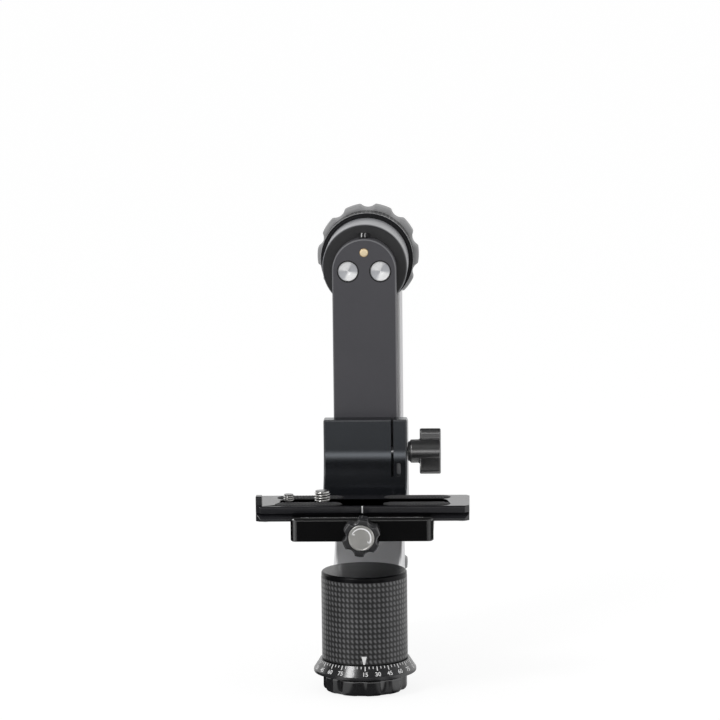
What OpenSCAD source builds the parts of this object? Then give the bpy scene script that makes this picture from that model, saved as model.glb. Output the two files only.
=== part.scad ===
// Gimbal head for a long lens: a pan base, an upright, a swing arm and a quick release clamp.
// Millimetres, +Z up. The origin is on the pan axis at the tripod face, +X is the
// object's right side seen from the clamp's knob, and -Y is its front.

/* [Layout] */
// Height of the tilt axis above the tripod face
tilt_axis_h = 247; // [245:0.5:256]
// Distance from the pan axis back to the rear face of the swing arm
arm_rear_y = 73; // [71:0.5:77]
// Height of the clamp's underside above the tripod face, with the carriage at its lowest
clamp_bottom_h = 95.3; // [92:0.5:100]

/* [Pan base] */
// Diameter of the spindle, which the bearings, housing and base are built round
spindle_d = 24; // [23:0.5:26]
// Diameter of the tripod thread
tripod_thread_d = 9.525; // [6.35:3.175:9.525]
// Length of the tripod thread
tripod_thread_len = 13.5; // [10:0.5:14]
// Thickness of the flange that stands on the tripod
flange_h = 3.6; // [3:0.1:4]
// Height of the lock ring's grip
lock_grip_h = 10.5; // [9:0.1:11]
// Radial width of the lock ring
lock_ring_w = 4.75; // [4.4:0.05:5.2]
// Thickness of the shoulder disc
disc_h = 4; // [3.6:0.1:4.4]
// Height of the degree ring
ring_h = 8; // [7.6:0.1:8.4]
// Radial width of the degree ring at its foot
ring_w = 6.4; // [5.4:0.1:7]
// Radial width of the degree ring at its top
ring_top_w = 2.4; // [1.8:0.1:3]
// Number of lobes on the large grips
grip_lobes = 10; // [8:1:12]

/* [Housing] */
// Radial height of the pan bearings
pan_bearing_t = 7; // [6.5:0.1:7.5]
// Width of the bearings
bearing_w = 7; // [6:0.5:7.5]
// Diameter of the bearing balls
ball_d = 3.9; // [3.4:0.1:4.2]
// Wall of the housing round the bearings
housing_wall = 5.6; // [5.2:0.1:6.4]
// Wall of the carbon sleeve
sleeve_wall = 1.2; // [0.9:0.1:1.6]
// Height of the carbon sleeve above the foot of the upright
sleeve_rise = 6.9; // [6:0.1:9]
// Height of the base cap above the sleeve
cap_h = 3.2; // [2.6:0.1:4]
// Width of the chamfer round the base cap
cap_chamfer = 0.9; // [0.5:0.1:1.4]

/* [Upright] */
// Width of the upright and of its foot
upright_w = 43; // [41:0.5:44]
// Thickness of the upright's column
column_t = 15; // [13:0.5:17]
// Radius of the concave sweep between foot and column
sweep_r = 45; // [38:1:50]
// How far the upright's round head stands out beyond the drum
head_overhang = 2.9; // [2:0.05:5]
// Thickness of the upright's round head
head_t = 17.8; // [16.5:0.2:20]
// Diameter of the drag knob
drag_knob_d = 46; // [42:0.5:50]
// Thickness of the drag knob's grip
drag_grip_t = 13; // [11:0.5:15]

/* [Tilt axis] */
// Diameter of the tilt axle
tilt_axle_d = 16; // [14:0.5:17]
// Diameter of the stub that carries the tilt bearings
stub_d = 30; // [29:0.5:31]
// Radial height of the tilt bearings
tilt_bearing_t = 6; // [5.6:0.1:6.5]
// Wall of the tilt drum
drum_wall = 5.1; // [4:0.1:6]
// Length of the tilt drum
drum_len = 38.6; // [38:0.2:42]
// Width of the dark groove behind the drum
groove_w = 1.6; // [1.4:0.1:2.4]
// Diameter of the tilt knob
tilt_knob_d = 63.6; // [60:0.1:68]
// Thickness of the tilt knob's grip
tilt_grip_t = 16; // [14:0.5:18]

/* [Swing arm] */
// Width of the swing arm
arm_w = 39; // [38:0.5:42]
// Thickness of the swing arm
arm_t = 15; // [13:0.5:16]
// Height of the arm's lower end above the clamp's underside
arm_bottom_rise = 3.8; // [2:0.1:6]
// Drop of the round end's middle below the tilt axis
arm_end_drop = 0.9; // [0:0.1:1.5]
// Chamfer along the arm's edges
arm_chamfer = 0.7; // [0.3:0.1:1.2]
// Diameter of the arm screws' heads
arm_screw_head_d = 12.3; // [11:0.1:13]
// Diameter of the brass locating pin
locating_pin_d = 5.5; // [4:0.1:6]

/* [Carriage] */
// Wall of the carriage on each side of the swing arm
side_wall_t = 6; // [5:0.1:7]
// Height of the carriage's top above the clamp's underside
carriage_h = 60.9; // [58:0.5:62]
// Thickness of the wall in front of the swing arm
front_wall_t = 11; // [10:0.5:12]
// Thickness of the wall behind the swing arm
rear_wall_t = 8; // [7:0.5:10]
// Radius of the concave front of the carriage
front_sweep_r = 25; // [22:0.5:26]
// Width of the clamping slit
slit_w = 1.5; // [1:0.1:2]
// Play between the swing arm and the carriage, on each side
slide_gap = 0.15; // [0.05:0.05:0.3]
// Diameter of the wing knob's hub
wing_hub_d = 14.4; // [12:0.2:16]
// Distance between the tips of the wing knob
wing_span = 27; // [24:0.5:30]
// Length of the wings along the knob's axis
wing_len = 12.8; // [10:0.2:16]
// Diameter of the wing knob's screw
wing_screw_d = 6; // [5:0.5:6]

/* [Clamp] */
// Length of the clamp's jaws
clamp_len = 83.8; // [78:0.5:92]
// Thickness of the clamp under the plate
clamp_floor_t = 9.9; // [9:0.1:11]
// Height of the jaws above the clamp's floor
jaw_rise = 4.2; // [3.6:0.1:4.6]
// Depth of the moving jaw from its front face to its rear face
jaw_t = 11.4; // [10.5:0.1:13]
// Diameter of the clamp knob
clamp_knob_d = 23; // [20:0.2:24]
// Thickness of the clamp knob's grip
clamp_grip_t = 12; // [10:0.2:14]
// Number of lobes on the clamp knob
clamp_lobes = 6; // [5:1:8]
// Diameter of the silver disc on the clamp knob
clamp_disc_d = 15.4; // [12:0.2:16]

/* [Camera plate] */
// Length of the plate
plate_len = 127; // [120:1:132]
// Width of the plate
plate_w = 38; // [37:0.5:39]
// Thickness of the plate
plate_t = 9.2; // [9:0.1:10.5]
// Distance from each end of the plate to the slot for the camera screws
slot_margin = 13.5; // [12:0.5:18]
// Play of the large camera screw in the slot
slot_play = 0.375; // [0.2:0.025:0.8]
// Length of one rubber pad
pad_len = 40; // [34:0.5:41]
// Distance from the pads to the long edge of the plate
pad_margin = 1.65; // [1:0.05:3]
// Height of the lip at the plate's left end
lip_h = 5.6; // [4:0.2:7]
// Thread diameter of the large camera screw
large_screw_d = 9.525; // [9.525:0.1:9.525]
// Thread diameter of the small camera screw
small_screw_d = 6.35; // [6.35:0.1:6.35]
// Height of the large camera screw above the plate
large_screw_rise = 6.2; // [4:0.2:7]
// Height of the small camera screw above the plate
small_screw_rise = 4.2; // [3:0.2:6]

/* [Hidden] */
$fn = 72;

// Fits and overruns
running_gap = 0.3;
fit_gap = 0.05;
loose_gap = 0.1;
screw_end_gap = 0.8;
overrun = 1;

// Colours seen in the photograph
black_gloss = [0.08, 0.08, 0.09];
rubber_black = [0.13, 0.13, 0.13];
charcoal = [0.27, 0.27, 0.28];
upright_grey = [0.42, 0.42, 0.44];
drum_grey = [0.30, 0.29, 0.28];
bare_steel = [0.75, 0.75, 0.77];
brass = [0.80, 0.62, 0.35];
carbon = [0.18, 0.18, 0.19];

// Diameters that follow from the spindle outwards
pan_bearing_d = spindle_d + 2 * pan_bearing_t;
housing_d = pan_bearing_d + 2 * housing_wall;
sleeve_d = housing_d + 2 * sleeve_wall;
disc_inset = 0.2;
disc_d = housing_d - 2 * disc_inset;

// Base core, with its thread insert, pins and rings
insert_wall = 2.25;
insert_d = tripod_thread_d + 2 * insert_wall;
disc_overhang = 6.8;
neck_d = disc_d - 2 * disc_overhang;
lock_lift = 0.3;
lock_gap = 0.2;
disc_z = lock_lift + lock_grip_h + lock_gap;
disc_top_z = disc_z + disc_h;
ring_lift = 0.4;
ring_z = disc_z + ring_lift;
ring_top_z = ring_z + ring_h;
ring_rim_h = 1.8;
ring_rim_chamfer = 0.5;
push_pin_d = 3;
push_pin_inset = 4;
push_pin_r = disc_d / 2 - push_pin_inset;
push_pin_proud = 0.4;
push_pins_n = 3;
brake_ring_z = disc_top_z + push_pin_proud;
brake_ring_h = 2;
spindle_step = 2;
spindle_bore_d = 14;
nut_h = 4;
cap_spigot_wall = 3;
nut_gap = 0.5;
nut_d = pan_bearing_d - 2 * (cap_spigot_wall + nut_gap);
nut_slots_n = 4;
nut_slot_w = 4;
nut_slot_depth = 1.5;

// Lock ring and grips
lock_thread_gap = 0.05;
lock_grip_wall = 2.8;
lock_rim_w = 2.1;
lock_ring_d = neck_d + 2 * lock_ring_w;
flange_d = lock_ring_d - 2 * lock_rim_w - 2 * running_gap;
lock_grip_d = lock_ring_d + 2 * lock_grip_wall;
large_valley = 1.5;
large_scallop_r = 6;
grip_edge = 1.2;
tilt_valley = 2.3;
tilt_scallop_r = 6.5;
tilt_grip_edge = 2.4;

// Foot of the upright, on the housing above the degree ring
sleeve_z = ring_top_z + running_gap;
foot_rise = 0.3;
foot_r = upright_w / 2;
foot_axis_h = sleeve_z + foot_rise + foot_r;
foot_top_drop = 0.5;
foot_top_z = foot_axis_h + foot_r - foot_top_drop;
drag_rise_share = 0.4;
drag_axis_h = foot_axis_h + foot_r * drag_rise_share;
foot_gap = 0.1;

// Housing, sleeve and cap
housing_z = brake_ring_z + brake_ring_h + running_gap;
sleeve_top_z = foot_top_z + sleeve_rise;
sleeve_h = sleeve_top_z - sleeve_z;
cap_top_z = sleeve_top_z + cap_h;
bearing_rise = 3.8;
lower_bearing_z = housing_z + bearing_rise;
shoe_d = 9;
shoe_clearance = 0.5;
upper_bearing_z = drag_axis_h + shoe_d / 2 + shoe_clearance;
spindle_top_z = upper_bearing_z + bearing_w + nut_h;
cap_spigot_h = 4;
cap_edge_step = 0.1;
bearing_shelf = 1.4;

// Races and balls of the bearings
ball_gap = 0.05;
race_wall_share = 0.37;
pan_balls_n = 12;
tilt_balls_n = 14;

// Tilt drum, stub and axle
tilt_bearing_d = stub_d + 2 * tilt_bearing_t;
drum_d = tilt_bearing_d + 2 * drum_wall;
drum_floor_t = 8.2;
drum_floor_y = arm_rear_y + drum_floor_t;
drum_chamfer = 1;
head_front_y = arm_rear_y + drum_len + groove_w;
head_rear_y = head_front_y + head_t;
stub_front_y = drum_floor_y + running_gap;
stub_flange_t = 3.6;
stub_flange_gap = 0.4;
stub_flange_d = tilt_bearing_d - 2 * stub_flange_gap;
stub_rib = 2;
stub_lead = 0.5;
bearing_space = 1.2;
front_tilt_bearing_y = stub_front_y + stub_lead;
rear_tilt_bearing_y = head_front_y - stub_flange_t - bearing_w - bearing_space;
stub_screw_rise = 2.8;
stub_screw_r = stub_d / 2 + stub_screw_rise;
stub_screw_d = 3;
stub_screw_head_d = 5.4;
stub_screw_len = 9;
stub_screws_n = 4;
axle_journal_d = 11;
axle_journal_len = 5.6;
axle_thread_d = 12;
axle_end_gap = 2.3;
friction_ring_inset = 1.3;
friction_ring_d = drum_d - 2 * friction_ring_inset;

// Washers and tilt knob
thrust_washer_t = 1.2;
spring_washer_t = 0.9;
spring_washer_rise = 0.5;
washer_d = 27;
washers_t = thrust_washer_t + 2 * (spring_washer_t + spring_washer_rise);
tilt_hub_y = head_rear_y + washers_t + running_gap;
tilt_grip_gap = 3.4;
tilt_grip_y = head_rear_y + tilt_grip_gap;
tilt_grip_wall = 7;
tilt_hub_d = tilt_knob_d - 2 * tilt_grip_wall;
tilt_cap_t = 1.2;
tilt_cap_inset = 6.35;
tilt_cap_d = tilt_hub_d - 2 * tilt_cap_inset;
tilt_cap_recess = 0.6;
tilt_cap_y = tilt_grip_y + tilt_grip_t - tilt_cap_recess;
axle_end_y = tilt_cap_y - axle_end_gap;

// Upright and what its foot holds
head_d = drum_d + 2 * head_overhang;
head_set = 1.3;
column_front_y = head_front_y + head_set;
column_rear_y = column_front_y + column_t;
column_edge_r = 2.5;
head_step = 1.4;
head_step_w = 1.6;
foot_screw_inset = 5.94;
foot_screw_off = (foot_r - foot_screw_inset) * cos(45);
foot_screw_d = 5;
foot_screw_head_d = 8.5;
foot_screw_head_h = 5;
foot_screw_wall = 0.7;
foot_screw_inner_x = foot_screw_off - foot_screw_d / 2;
foot_screw_end_r = pan_bearing_d / 2 + foot_screw_wall;
foot_screw_tip_y = sqrt(pow(foot_screw_end_r, 2) - pow(foot_screw_inner_x, 2));
foot_screw_seat_y = 44;
foot_screw_access = 0.5;
drag_rod_d = 8;
drag_rod_gap = 0.1;
drag_stud_len = 12;
drag_grip_gap = 2;
drag_grip_y = column_rear_y + drag_grip_gap;
drag_hub_neck_d = 16;
drag_grip_wall = 5;
drag_hub_face_t = 1.2;
shoe_len = 5;
shoe_gap = 0.3;
shoe_end_y = spindle_d / 2 + shoe_gap + shoe_len;
rod_tip_gap = 0.2;

// Swing arm and its fasteners
arm_front_y = arm_rear_y - arm_t;
arm_end_z = tilt_axis_h - arm_end_drop;
arm_bottom_z = clamp_bottom_h + arm_bottom_rise;
arm_screw_shank_d = 6;
arm_screw_space = 1.4;
arm_screw_pitch_r = (axle_journal_d + arm_screw_shank_d) / 2 + arm_screw_space;
arm_screw_angle = 6;
arm_screw_inset = 0.4;
arm_screw_head_t = 4.6;
arm_screw_socket_d = 3.2;
arm_screw_socket_t = 1.6;
arm_screw_rim = 0.5;
arm_screw_recess = 0.5;
arm_screw_grip = 5.4;
pin_rise = 10.4;
pin_grip = 4.85;
pin_proud = 0.15;
stop_screw_drop = 8.7;
stop_screw_d = 4;
stop_screw_head_d = 5;
stop_screw_proud = 2;
stop_screw_len = 10;

// Carriage
carriage_w = arm_w + 2 * side_wall_t;
block_front_y = arm_front_y - front_wall_t;
block_rear_y = arm_rear_y + rear_wall_t;
block_top_z = clamp_bottom_h + carriage_h;
block_edge = 1;
block_slope_drop = 5;
slit_inset = 9.1;
slit_x = carriage_w / 2 - slit_inset;
slit_len = 34.2;
slit_bottom_z = block_top_z - slit_len;
front_sweep_drop = 18.2;
front_sweep_z = block_top_z - front_sweep_drop;
front_sweep_y = block_front_y - front_sweep_r;
leg_top_z = front_sweep_z - front_sweep_r;
stop_groove_gap = 0.5;
stop_groove_w = stop_screw_head_d + 2 * stop_groove_gap;
stop_groove_t = stop_screw_proud + stop_groove_gap;
stop_screw_z = block_top_z - stop_screw_drop;
stop_groove_h = stop_screw_z + stop_groove_w / 2 - clamp_bottom_h;
liner_w = 11;
liner_t = 1.2;
liner_inset = 6.5;
liner_x = arm_w / 2 - liner_inset;
liner_rise = 12;
liner_z = clamp_bottom_h + liner_rise;
liner_h = carriage_h - 2 * liner_rise;
wing_axis_shift = 0.5;
wing_axis_y = arm_front_y - front_wall_t / 2 - wing_axis_shift;
wing_axis_drop = 20.2;
wing_axis_z = block_top_z - wing_axis_drop;
wing_neck_step = 1.2;
wing_neck_d = wing_hub_d - 2 * wing_neck_step;
wing_neck_len = 1.5;
wing_collar_len = 5.8;
wing_tip_r = 2.9;
wing_offset = 3.4;
wing_hole_x = -20;
wing_face_x = carriage_w / 2 + running_gap;
wing_body_x = wing_face_x + wing_neck_len + wing_collar_len;
wing_screw_end_x = wing_body_x + wing_len / 2;
relief_inset = 5.3;
relief_x = carriage_w / 2 - relief_inset;
relief_w = 3.2;
relief_h = 7.8;
relief_depth = 1.5;
relief_floor_y = block_front_y + relief_depth;
relief_pin_d = 2.6;
relief_pin_h = relief_h - relief_w / 2;

// Clamp
clamp_floor_z = clamp_bottom_h + clamp_floor_t;
jaw_top_z = clamp_floor_z + jaw_rise;
jaw_width = 9.9;
clamp_rear_y = plate_w / 2 + jaw_width;
lip_overlap = 1.6;
lip_front_y = plate_w / 2 + lip_overlap;
dovetail_gap = 0.2;
plate_lift = 0.4;
plate_z = clamp_floor_z + plate_lift;
dovetail_lip = 1.6;
dovetail_depth = 3.4;
slab_z = plate_z + dovetail_lip + dovetail_depth;
plate_top_z = plate_z + plate_t;
jaw_overhang = 10;
jaw_front_y = -plate_w / 2 - jaw_overhang;
jaw_rear_y = jaw_front_y + jaw_t;
clamp_base_front_y = jaw_rear_y + running_gap;
clamp_edge = 0.8;
clamp_knob_z = clamp_bottom_h + clamp_floor_t / 2;
clamp_knob_screw_d = 6;
clamp_screw_tip_y = 1;
clamp_neck_d = 12;
clamp_neck_len = 3;
clamp_grip_y = jaw_front_y - clamp_neck_len - clamp_grip_t;
clamp_valley = 2;
clamp_scallop_r = 4;
clamp_grip_edge = 1.4;
clamp_disc_t = 2;
clamp_disc_proud = 0.6;
clamp_lobe_angle = -97;
tongue_inset = 3;
tongue_w = carriage_w - 2 * tongue_inset;
tongue_t = 5;
tongue_front_y = 4;
tongue_gap = 0.05;
guide_pin_d = 4;
guide_pin_margin = 13.35;
guide_pin_x = clamp_len / 2 - guide_pin_margin;
guide_pin_len = 22;
guide_pin_inset = 1.5;
guide_pin_front_y = jaw_front_y + guide_pin_inset;
clamp_screw_margin = 7;
clamp_screw_x = tongue_w / 2 - clamp_screw_margin;
clamp_screw_front_y = 9.5;
clamp_screw_rear_gap = 5.9;
clamp_screw_rear_y = clamp_rear_y - clamp_screw_rear_gap;
clamp_screw_d = 5;
clamp_screw_head_d = 9.2;
clamp_screw_head_t = 2.6;
clamp_screw_inset = 0.2;
clamp_screw_cover = 1.3;
clamp_screw_len = clamp_floor_t - clamp_screw_cover;

// Camera plate
plate_corner = 2.6;
plate_edge = 0.6;
slot_len = plate_len - 2 * slot_margin;
slot_w = large_screw_d + slot_play;
tee_slot_w = 16.4;
tee_slot_t = 4.6;
pad_t = 1;
pad_proud = 0.45;
pad_end_margin = 11.5;
pad_x = (plate_len - pad_len) / 2 - pad_end_margin;
pad_slot_gap = 0.4;
pad_w = (plate_w - slot_w) / 2 - pad_slot_gap - pad_margin;
pad_y = (slot_w + pad_w) / 2 + pad_slot_gap;
lip_t = 3.6;
lip_w = 7;
lip_edge = 0.6;
small_screw_gap = 5.4;
small_screw_x = small_screw_gap - slot_len / 2;
screw_pitch = 20.1;
large_screw_x = small_screw_x + screw_pitch;
screw_head_h = 3.1;
screw_head_lift = 0.3;
screw_neck = 0.5;
screw_neck_rise = 0.6;
large_head_d = 15.4;
small_head_d = 11.6;
washer_t = 0.9;
washer_top_gap = 0.15;
washer_edge_gap = 0.2;
plate_stop_inset = 4.5;
plate_stop_x = plate_len / 2 - plate_stop_inset;
plate_stop_d = 4;
plate_stop_proud = 3;
plate_stop_depth = 5;
stop_head_d = 5.4;
screw_tip = 0.6;

// Turns its children so that their own +Z runs back along +Y
module along_y(x = 0, y = 0, z = 0) {
    translate([x, y, z]) rotate([-90, 0, 0]) children();
}

// Turns its children so that their own +Z runs to the right along +X
module along_x(x = 0, y = 0, z = 0) {
    translate([x, y, z]) rotate([0, 90, 0]) children();
}

module tube(outer_d, inner_d, h) {
    difference() {
        cylinder(d = outer_d, h = h);
        translate([0, 0, -overrun]) cylinder(d = inner_d, h = h + 2 * overrun);
    }
}

module ball_groove(pitch_d) {
    rotate_extrude() translate([pitch_d / 2, 0]) circle(d = ball_d + 2 * ball_gap, $fn = 36);
}

// One race of a ball bearing, standing on z = 0
module race(inner_d, outer_d, pitch_d) {
    difference() {
        tube(outer_d, inner_d, bearing_w);
        translate([0, 0, bearing_w / 2]) ball_groove(pitch_d);
    }
}

module inner_race(bore_d, outer_d) {
    wall = (outer_d - bore_d) / 2 * race_wall_share;
    race(bore_d, bore_d + 2 * wall, (bore_d + outer_d) / 2);
}

module outer_race(bore_d, outer_d) {
    wall = (outer_d - bore_d) / 2 * race_wall_share;
    race(outer_d - 2 * wall, outer_d, (bore_d + outer_d) / 2);
}

module ball_set(bore_d, outer_d, count) {
    for (i = [0 : count - 1])
        rotate([0, 0, i * 360 / count])
            translate([(bore_d + outer_d) / 4, 0, bearing_w / 2])
                sphere(d = ball_d, $fn = 24);
}

// A ring shaped grip with scallops between its lobes, standing on z = 0
module lobed_ring(outer_d, inner_d, h, lobes, valley, scallop_r, edge, turn = 0) {
    difference() {
        rotate_extrude() polygon([
            [inner_d / 2, 0], [outer_d / 2 - edge, 0], [outer_d / 2, edge],
            [outer_d / 2, h - edge], [outer_d / 2 - edge, h], [inner_d / 2, h]
        ]);
        for (i = [0 : lobes - 1])
            rotate([0, 0, turn + (i + 1 / 2) * 360 / lobes])
                translate([outer_d / 2 - valley + scallop_r, 0, -overrun])
                    cylinder(r = scallop_r, h = h + 2 * overrun);
    }
}

// A bar of height h standing on z = 0, with rounded upright edges
module rounded_bar(w, depth, h, r) {
    translate([-w / 2 + r, 0, 0]) cube([w - 2 * r, depth, h]);
    translate([-w / 2, r, 0]) cube([w, depth - 2 * r, h]);
    for (x = [-w / 2 + r, w / 2 - r], y = [r, depth - r])
        translate([x, y, 0]) cylinder(r = r, h = h);
}

// A slot with round ends along X, standing on z = 0
module stadium(len, w, h) {
    translate([-(len - w) / 2, -w / 2, 0]) cube([len - w, w, h]);
    for (x = [-(len - w) / 2, (len - w) / 2])
        translate([x, 0, 0]) cylinder(d = w, h = h);
}

// Pan base, fixed to the tripod

module base_core() {
    color(charcoal) difference() {
        union() {
            cylinder(d = flange_d, h = flange_h);
            cylinder(d = neck_d, h = disc_z);
            translate([0, 0, disc_z]) cylinder(d = disc_d, h = disc_h);
            translate([0, 0, disc_top_z])
                cylinder(d = spindle_d + 2 * spindle_step, h = lower_bearing_z - disc_top_z);
            translate([0, 0, lower_bearing_z])
                cylinder(d = spindle_d, h = spindle_top_z - lower_bearing_z);
        }
        translate([0, 0, -overrun]) cylinder(d = insert_d, h = tripod_thread_len + overrun);
        cylinder(d = spindle_bore_d, h = spindle_top_z + overrun);
        for (i = [0 : push_pins_n - 1])
            rotate([0, 0, i * 360 / push_pins_n])
                translate([0, push_pin_r, disc_z - overrun])
                    cylinder(d = push_pin_d + 2 * fit_gap, h = disc_h + 2 * overrun);
    }
}

module thread_insert() {
    color(bare_steel) tube(insert_d, tripod_thread_d, tripod_thread_len);
}

module degree_ring() {
    color(charcoal) translate([0, 0, ring_z]) rotate_extrude() translate([disc_d / 2, 0]) polygon([
        [0, 0], [ring_w - ring_rim_chamfer, 0], [ring_w, ring_rim_chamfer], [ring_w, ring_rim_h],
        [ring_top_w, ring_h], [0, ring_h]
    ]);
}

module push_pins() {
    color(bare_steel) for (i = [0 : push_pins_n - 1])
        rotate([0, 0, i * 360 / push_pins_n])
            translate([0, push_pin_r, disc_z]) cylinder(d = push_pin_d, h = disc_h + push_pin_proud);
}

module brake_ring() {
    inner_d = spindle_d + 2 * spindle_step + 2 * push_pin_d;
    color(drum_grey) translate([0, 0, brake_ring_z])
        tube(disc_d - 2 * running_gap, inner_d - push_pin_d, brake_ring_h);
}

module spindle_nut() {
    color(bare_steel) translate([0, 0, upper_bearing_z + bearing_w]) difference() {
        tube(nut_d, spindle_d, nut_h);
        for (i = [0 : nut_slots_n - 1])
            rotate([0, 0, i * 360 / nut_slots_n])
                translate([nut_d / 2 - nut_slot_depth, -nut_slot_w / 2, -overrun])
                    cube([nut_slot_depth + overrun, nut_slot_w, nut_h + 2 * overrun]);
    }
}

module pan_inner_races() {
    color(bare_steel) for (z = [lower_bearing_z, upper_bearing_z])
        translate([0, 0, z]) inner_race(spindle_d, pan_bearing_d);
}

module pan_balls() {
    color(bare_steel) for (z = [lower_bearing_z, upper_bearing_z])
        translate([0, 0, z]) ball_set(spindle_d, pan_bearing_d, pan_balls_n);
}

// Pan lock ring

module lock_ring() {
    color(charcoal) difference() {
        translate([0, 0, lock_lift])
            cylinder(d = lock_ring_d, h = lock_grip_h);
        translate([0, 0, -overrun])
            cylinder(d = neck_d + 2 * lock_thread_gap, h = disc_z + 2 * overrun);
        translate([0, 0, -overrun])
            cylinder(d = flange_d + 2 * running_gap, h = lock_lift + flange_h + running_gap + overrun);
    }
}

module lock_ring_grip() {
    color(rubber_black) translate([0, 0, lock_lift])
        lobed_ring(lock_grip_d, lock_ring_d, lock_grip_h, grip_lobes,
            large_valley, large_scallop_r, grip_edge);
}

// Pan housing

module pan_housing() {
    seat_d = pan_bearing_d - 2 * bearing_shelf;
    color(charcoal) difference() {
        union() {
            translate([0, 0, housing_z])
                cylinder(d = disc_d - 2 * running_gap, h = sleeve_z - housing_z);
            translate([0, 0, sleeve_z]) cylinder(d = housing_d, h = sleeve_h);
        }
        translate([0, 0, housing_z - overrun])
            cylinder(d = pan_bearing_d, h = lower_bearing_z + bearing_w - housing_z + overrun);
        translate([0, 0, lower_bearing_z])
            cylinder(d = seat_d, h = upper_bearing_z - lower_bearing_z + overrun);
        translate([0, 0, upper_bearing_z])
            cylinder(d = pan_bearing_d, h = sleeve_top_z - upper_bearing_z + overrun);
        along_y(z = drag_axis_h) cylinder(d = shoe_d + 2 * fit_gap, h = housing_d);
        foot_screw_holes(foot_screw_tip_y, housing_d);
    }
}

module carbon_sleeve() {
    color(carbon) difference() {
        translate([0, 0, sleeve_z]) tube(sleeve_d, housing_d, sleeve_h);
        foot_section(foot_gap, sleeve_d);
    }
}

module base_cap() {
    spigot_d = pan_bearing_d;
    color(black_gloss) translate([0, 0, sleeve_top_z]) difference() {
        rotate_extrude() polygon([
            [0, -cap_spigot_h], [spigot_d / 2, -cap_spigot_h], [spigot_d / 2, 0],
            [sleeve_d / 2 - cap_edge_step, 0], [sleeve_d / 2 - cap_edge_step, cap_h - cap_chamfer],
            [sleeve_d / 2 - cap_edge_step - cap_chamfer, cap_h], [0, cap_h]
        ]);
        translate([0, 0, -cap_spigot_h - overrun])
            cylinder(d = spigot_d - 2 * cap_spigot_wall, h = cap_spigot_h + overrun);
    }
}

module pan_outer_races() {
    color(bare_steel) for (z = [lower_bearing_z, upper_bearing_z])
        translate([0, 0, z]) outer_race(spindle_d, pan_bearing_d);
}

// Upright and what is mounted in it

// The foot's shape, a flat top over a half round, grown by extra and run back to end_y
module foot_section(extra, end_y) {
    along_y(z = foot_axis_h) cylinder(r = foot_r + extra, h = end_y);
    translate([-foot_r - extra, 0, foot_axis_h])
        cube([upright_w + 2 * extra, end_y, foot_top_z - foot_axis_h + extra]);
}

module foot_screw_places() {
    for (x = [-foot_screw_off, foot_screw_off], z = [-foot_screw_off, foot_screw_off])
        translate([x, 0, foot_axis_h + z]) children();
}

module foot_screw_holes(y0, y1) {
    foot_screw_places() along_y(y = y0) cylinder(d = foot_screw_d, h = y1 - y0);
}

module upright() {
    color(upright_grey) difference() {
        union() {
            foot_section(0, column_rear_y);
            translate([0, column_front_y, foot_axis_h])
                rounded_bar(upright_w, column_t, tilt_axis_h - foot_axis_h, column_edge_r);
            difference() {
                translate([-foot_r, column_front_y - sweep_r, foot_top_z])
                    cube([upright_w, sweep_r + column_edge_r, sweep_r]);
                along_x(-foot_r - overrun, column_front_y - sweep_r, foot_top_z + sweep_r)
                    cylinder(r = sweep_r, h = upright_w + 2 * overrun, $fn = 180);
            }
            along_y(y = head_front_y, z = tilt_axis_h)
                cylinder(d = head_d - 2 * head_step_w, h = head_step);
            along_y(y = head_front_y + head_step, z = tilt_axis_h)
                cylinder(d = head_d, h = head_t - head_step);
        }
        translate([0, 0, sleeve_z - overrun]) cylinder(d = housing_d, h = sleeve_h + 2 * overrun);
        along_y(y = 0, z = drag_axis_h)
            cylinder(d = drag_rod_d + 2 * drag_rod_gap, h = column_rear_y + overrun);
        foot_screw_holes(foot_screw_tip_y, foot_screw_seat_y + overrun);
        foot_screw_places() along_y(y = foot_screw_seat_y)
            cylinder(d = foot_screw_head_d + 2 * foot_screw_access, h = column_rear_y);
        along_y(y = head_front_y - overrun, z = tilt_axis_h)
            cylinder(d = tilt_axle_d + 2 * fit_gap, h = head_t + 2 * overrun);
        stub_screw_places() along_y(y = head_front_y - overrun)
            cylinder(d = stub_screw_d, h = stub_screw_len - stub_flange_t + screw_end_gap + overrun);
    }
}

module foot_screws() {
    color(bare_steel) foot_screw_places() {
        along_y(y = foot_screw_tip_y)
            cylinder(d = foot_screw_d, h = foot_screw_seat_y - foot_screw_tip_y);
        along_y(y = foot_screw_seat_y) cylinder(d = foot_screw_head_d, h = foot_screw_head_h);
    }
}

module brake_shoe() {
    color(brass) difference() {
        along_y(y = 0, z = drag_axis_h) cylinder(d = shoe_d, h = shoe_end_y);
        cylinder(d = spindle_d + 2 * shoe_gap, h = cap_top_z);
    }
}

module drag_rod() {
    end_y = column_rear_y - drag_stud_len - rod_tip_gap;
    color(bare_steel) along_y(y = shoe_end_y, z = drag_axis_h)
        cylinder(d = drag_rod_d, h = end_y - shoe_end_y);
}

module stub_screw_places() {
    for (i = [0 : stub_screws_n - 1])
        translate([0, 0, tilt_axis_h]) rotate([0, (i + 1 / 2) * 360 / stub_screws_n, 0])
            translate([stub_screw_r, 0, 0]) children();
}

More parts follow.
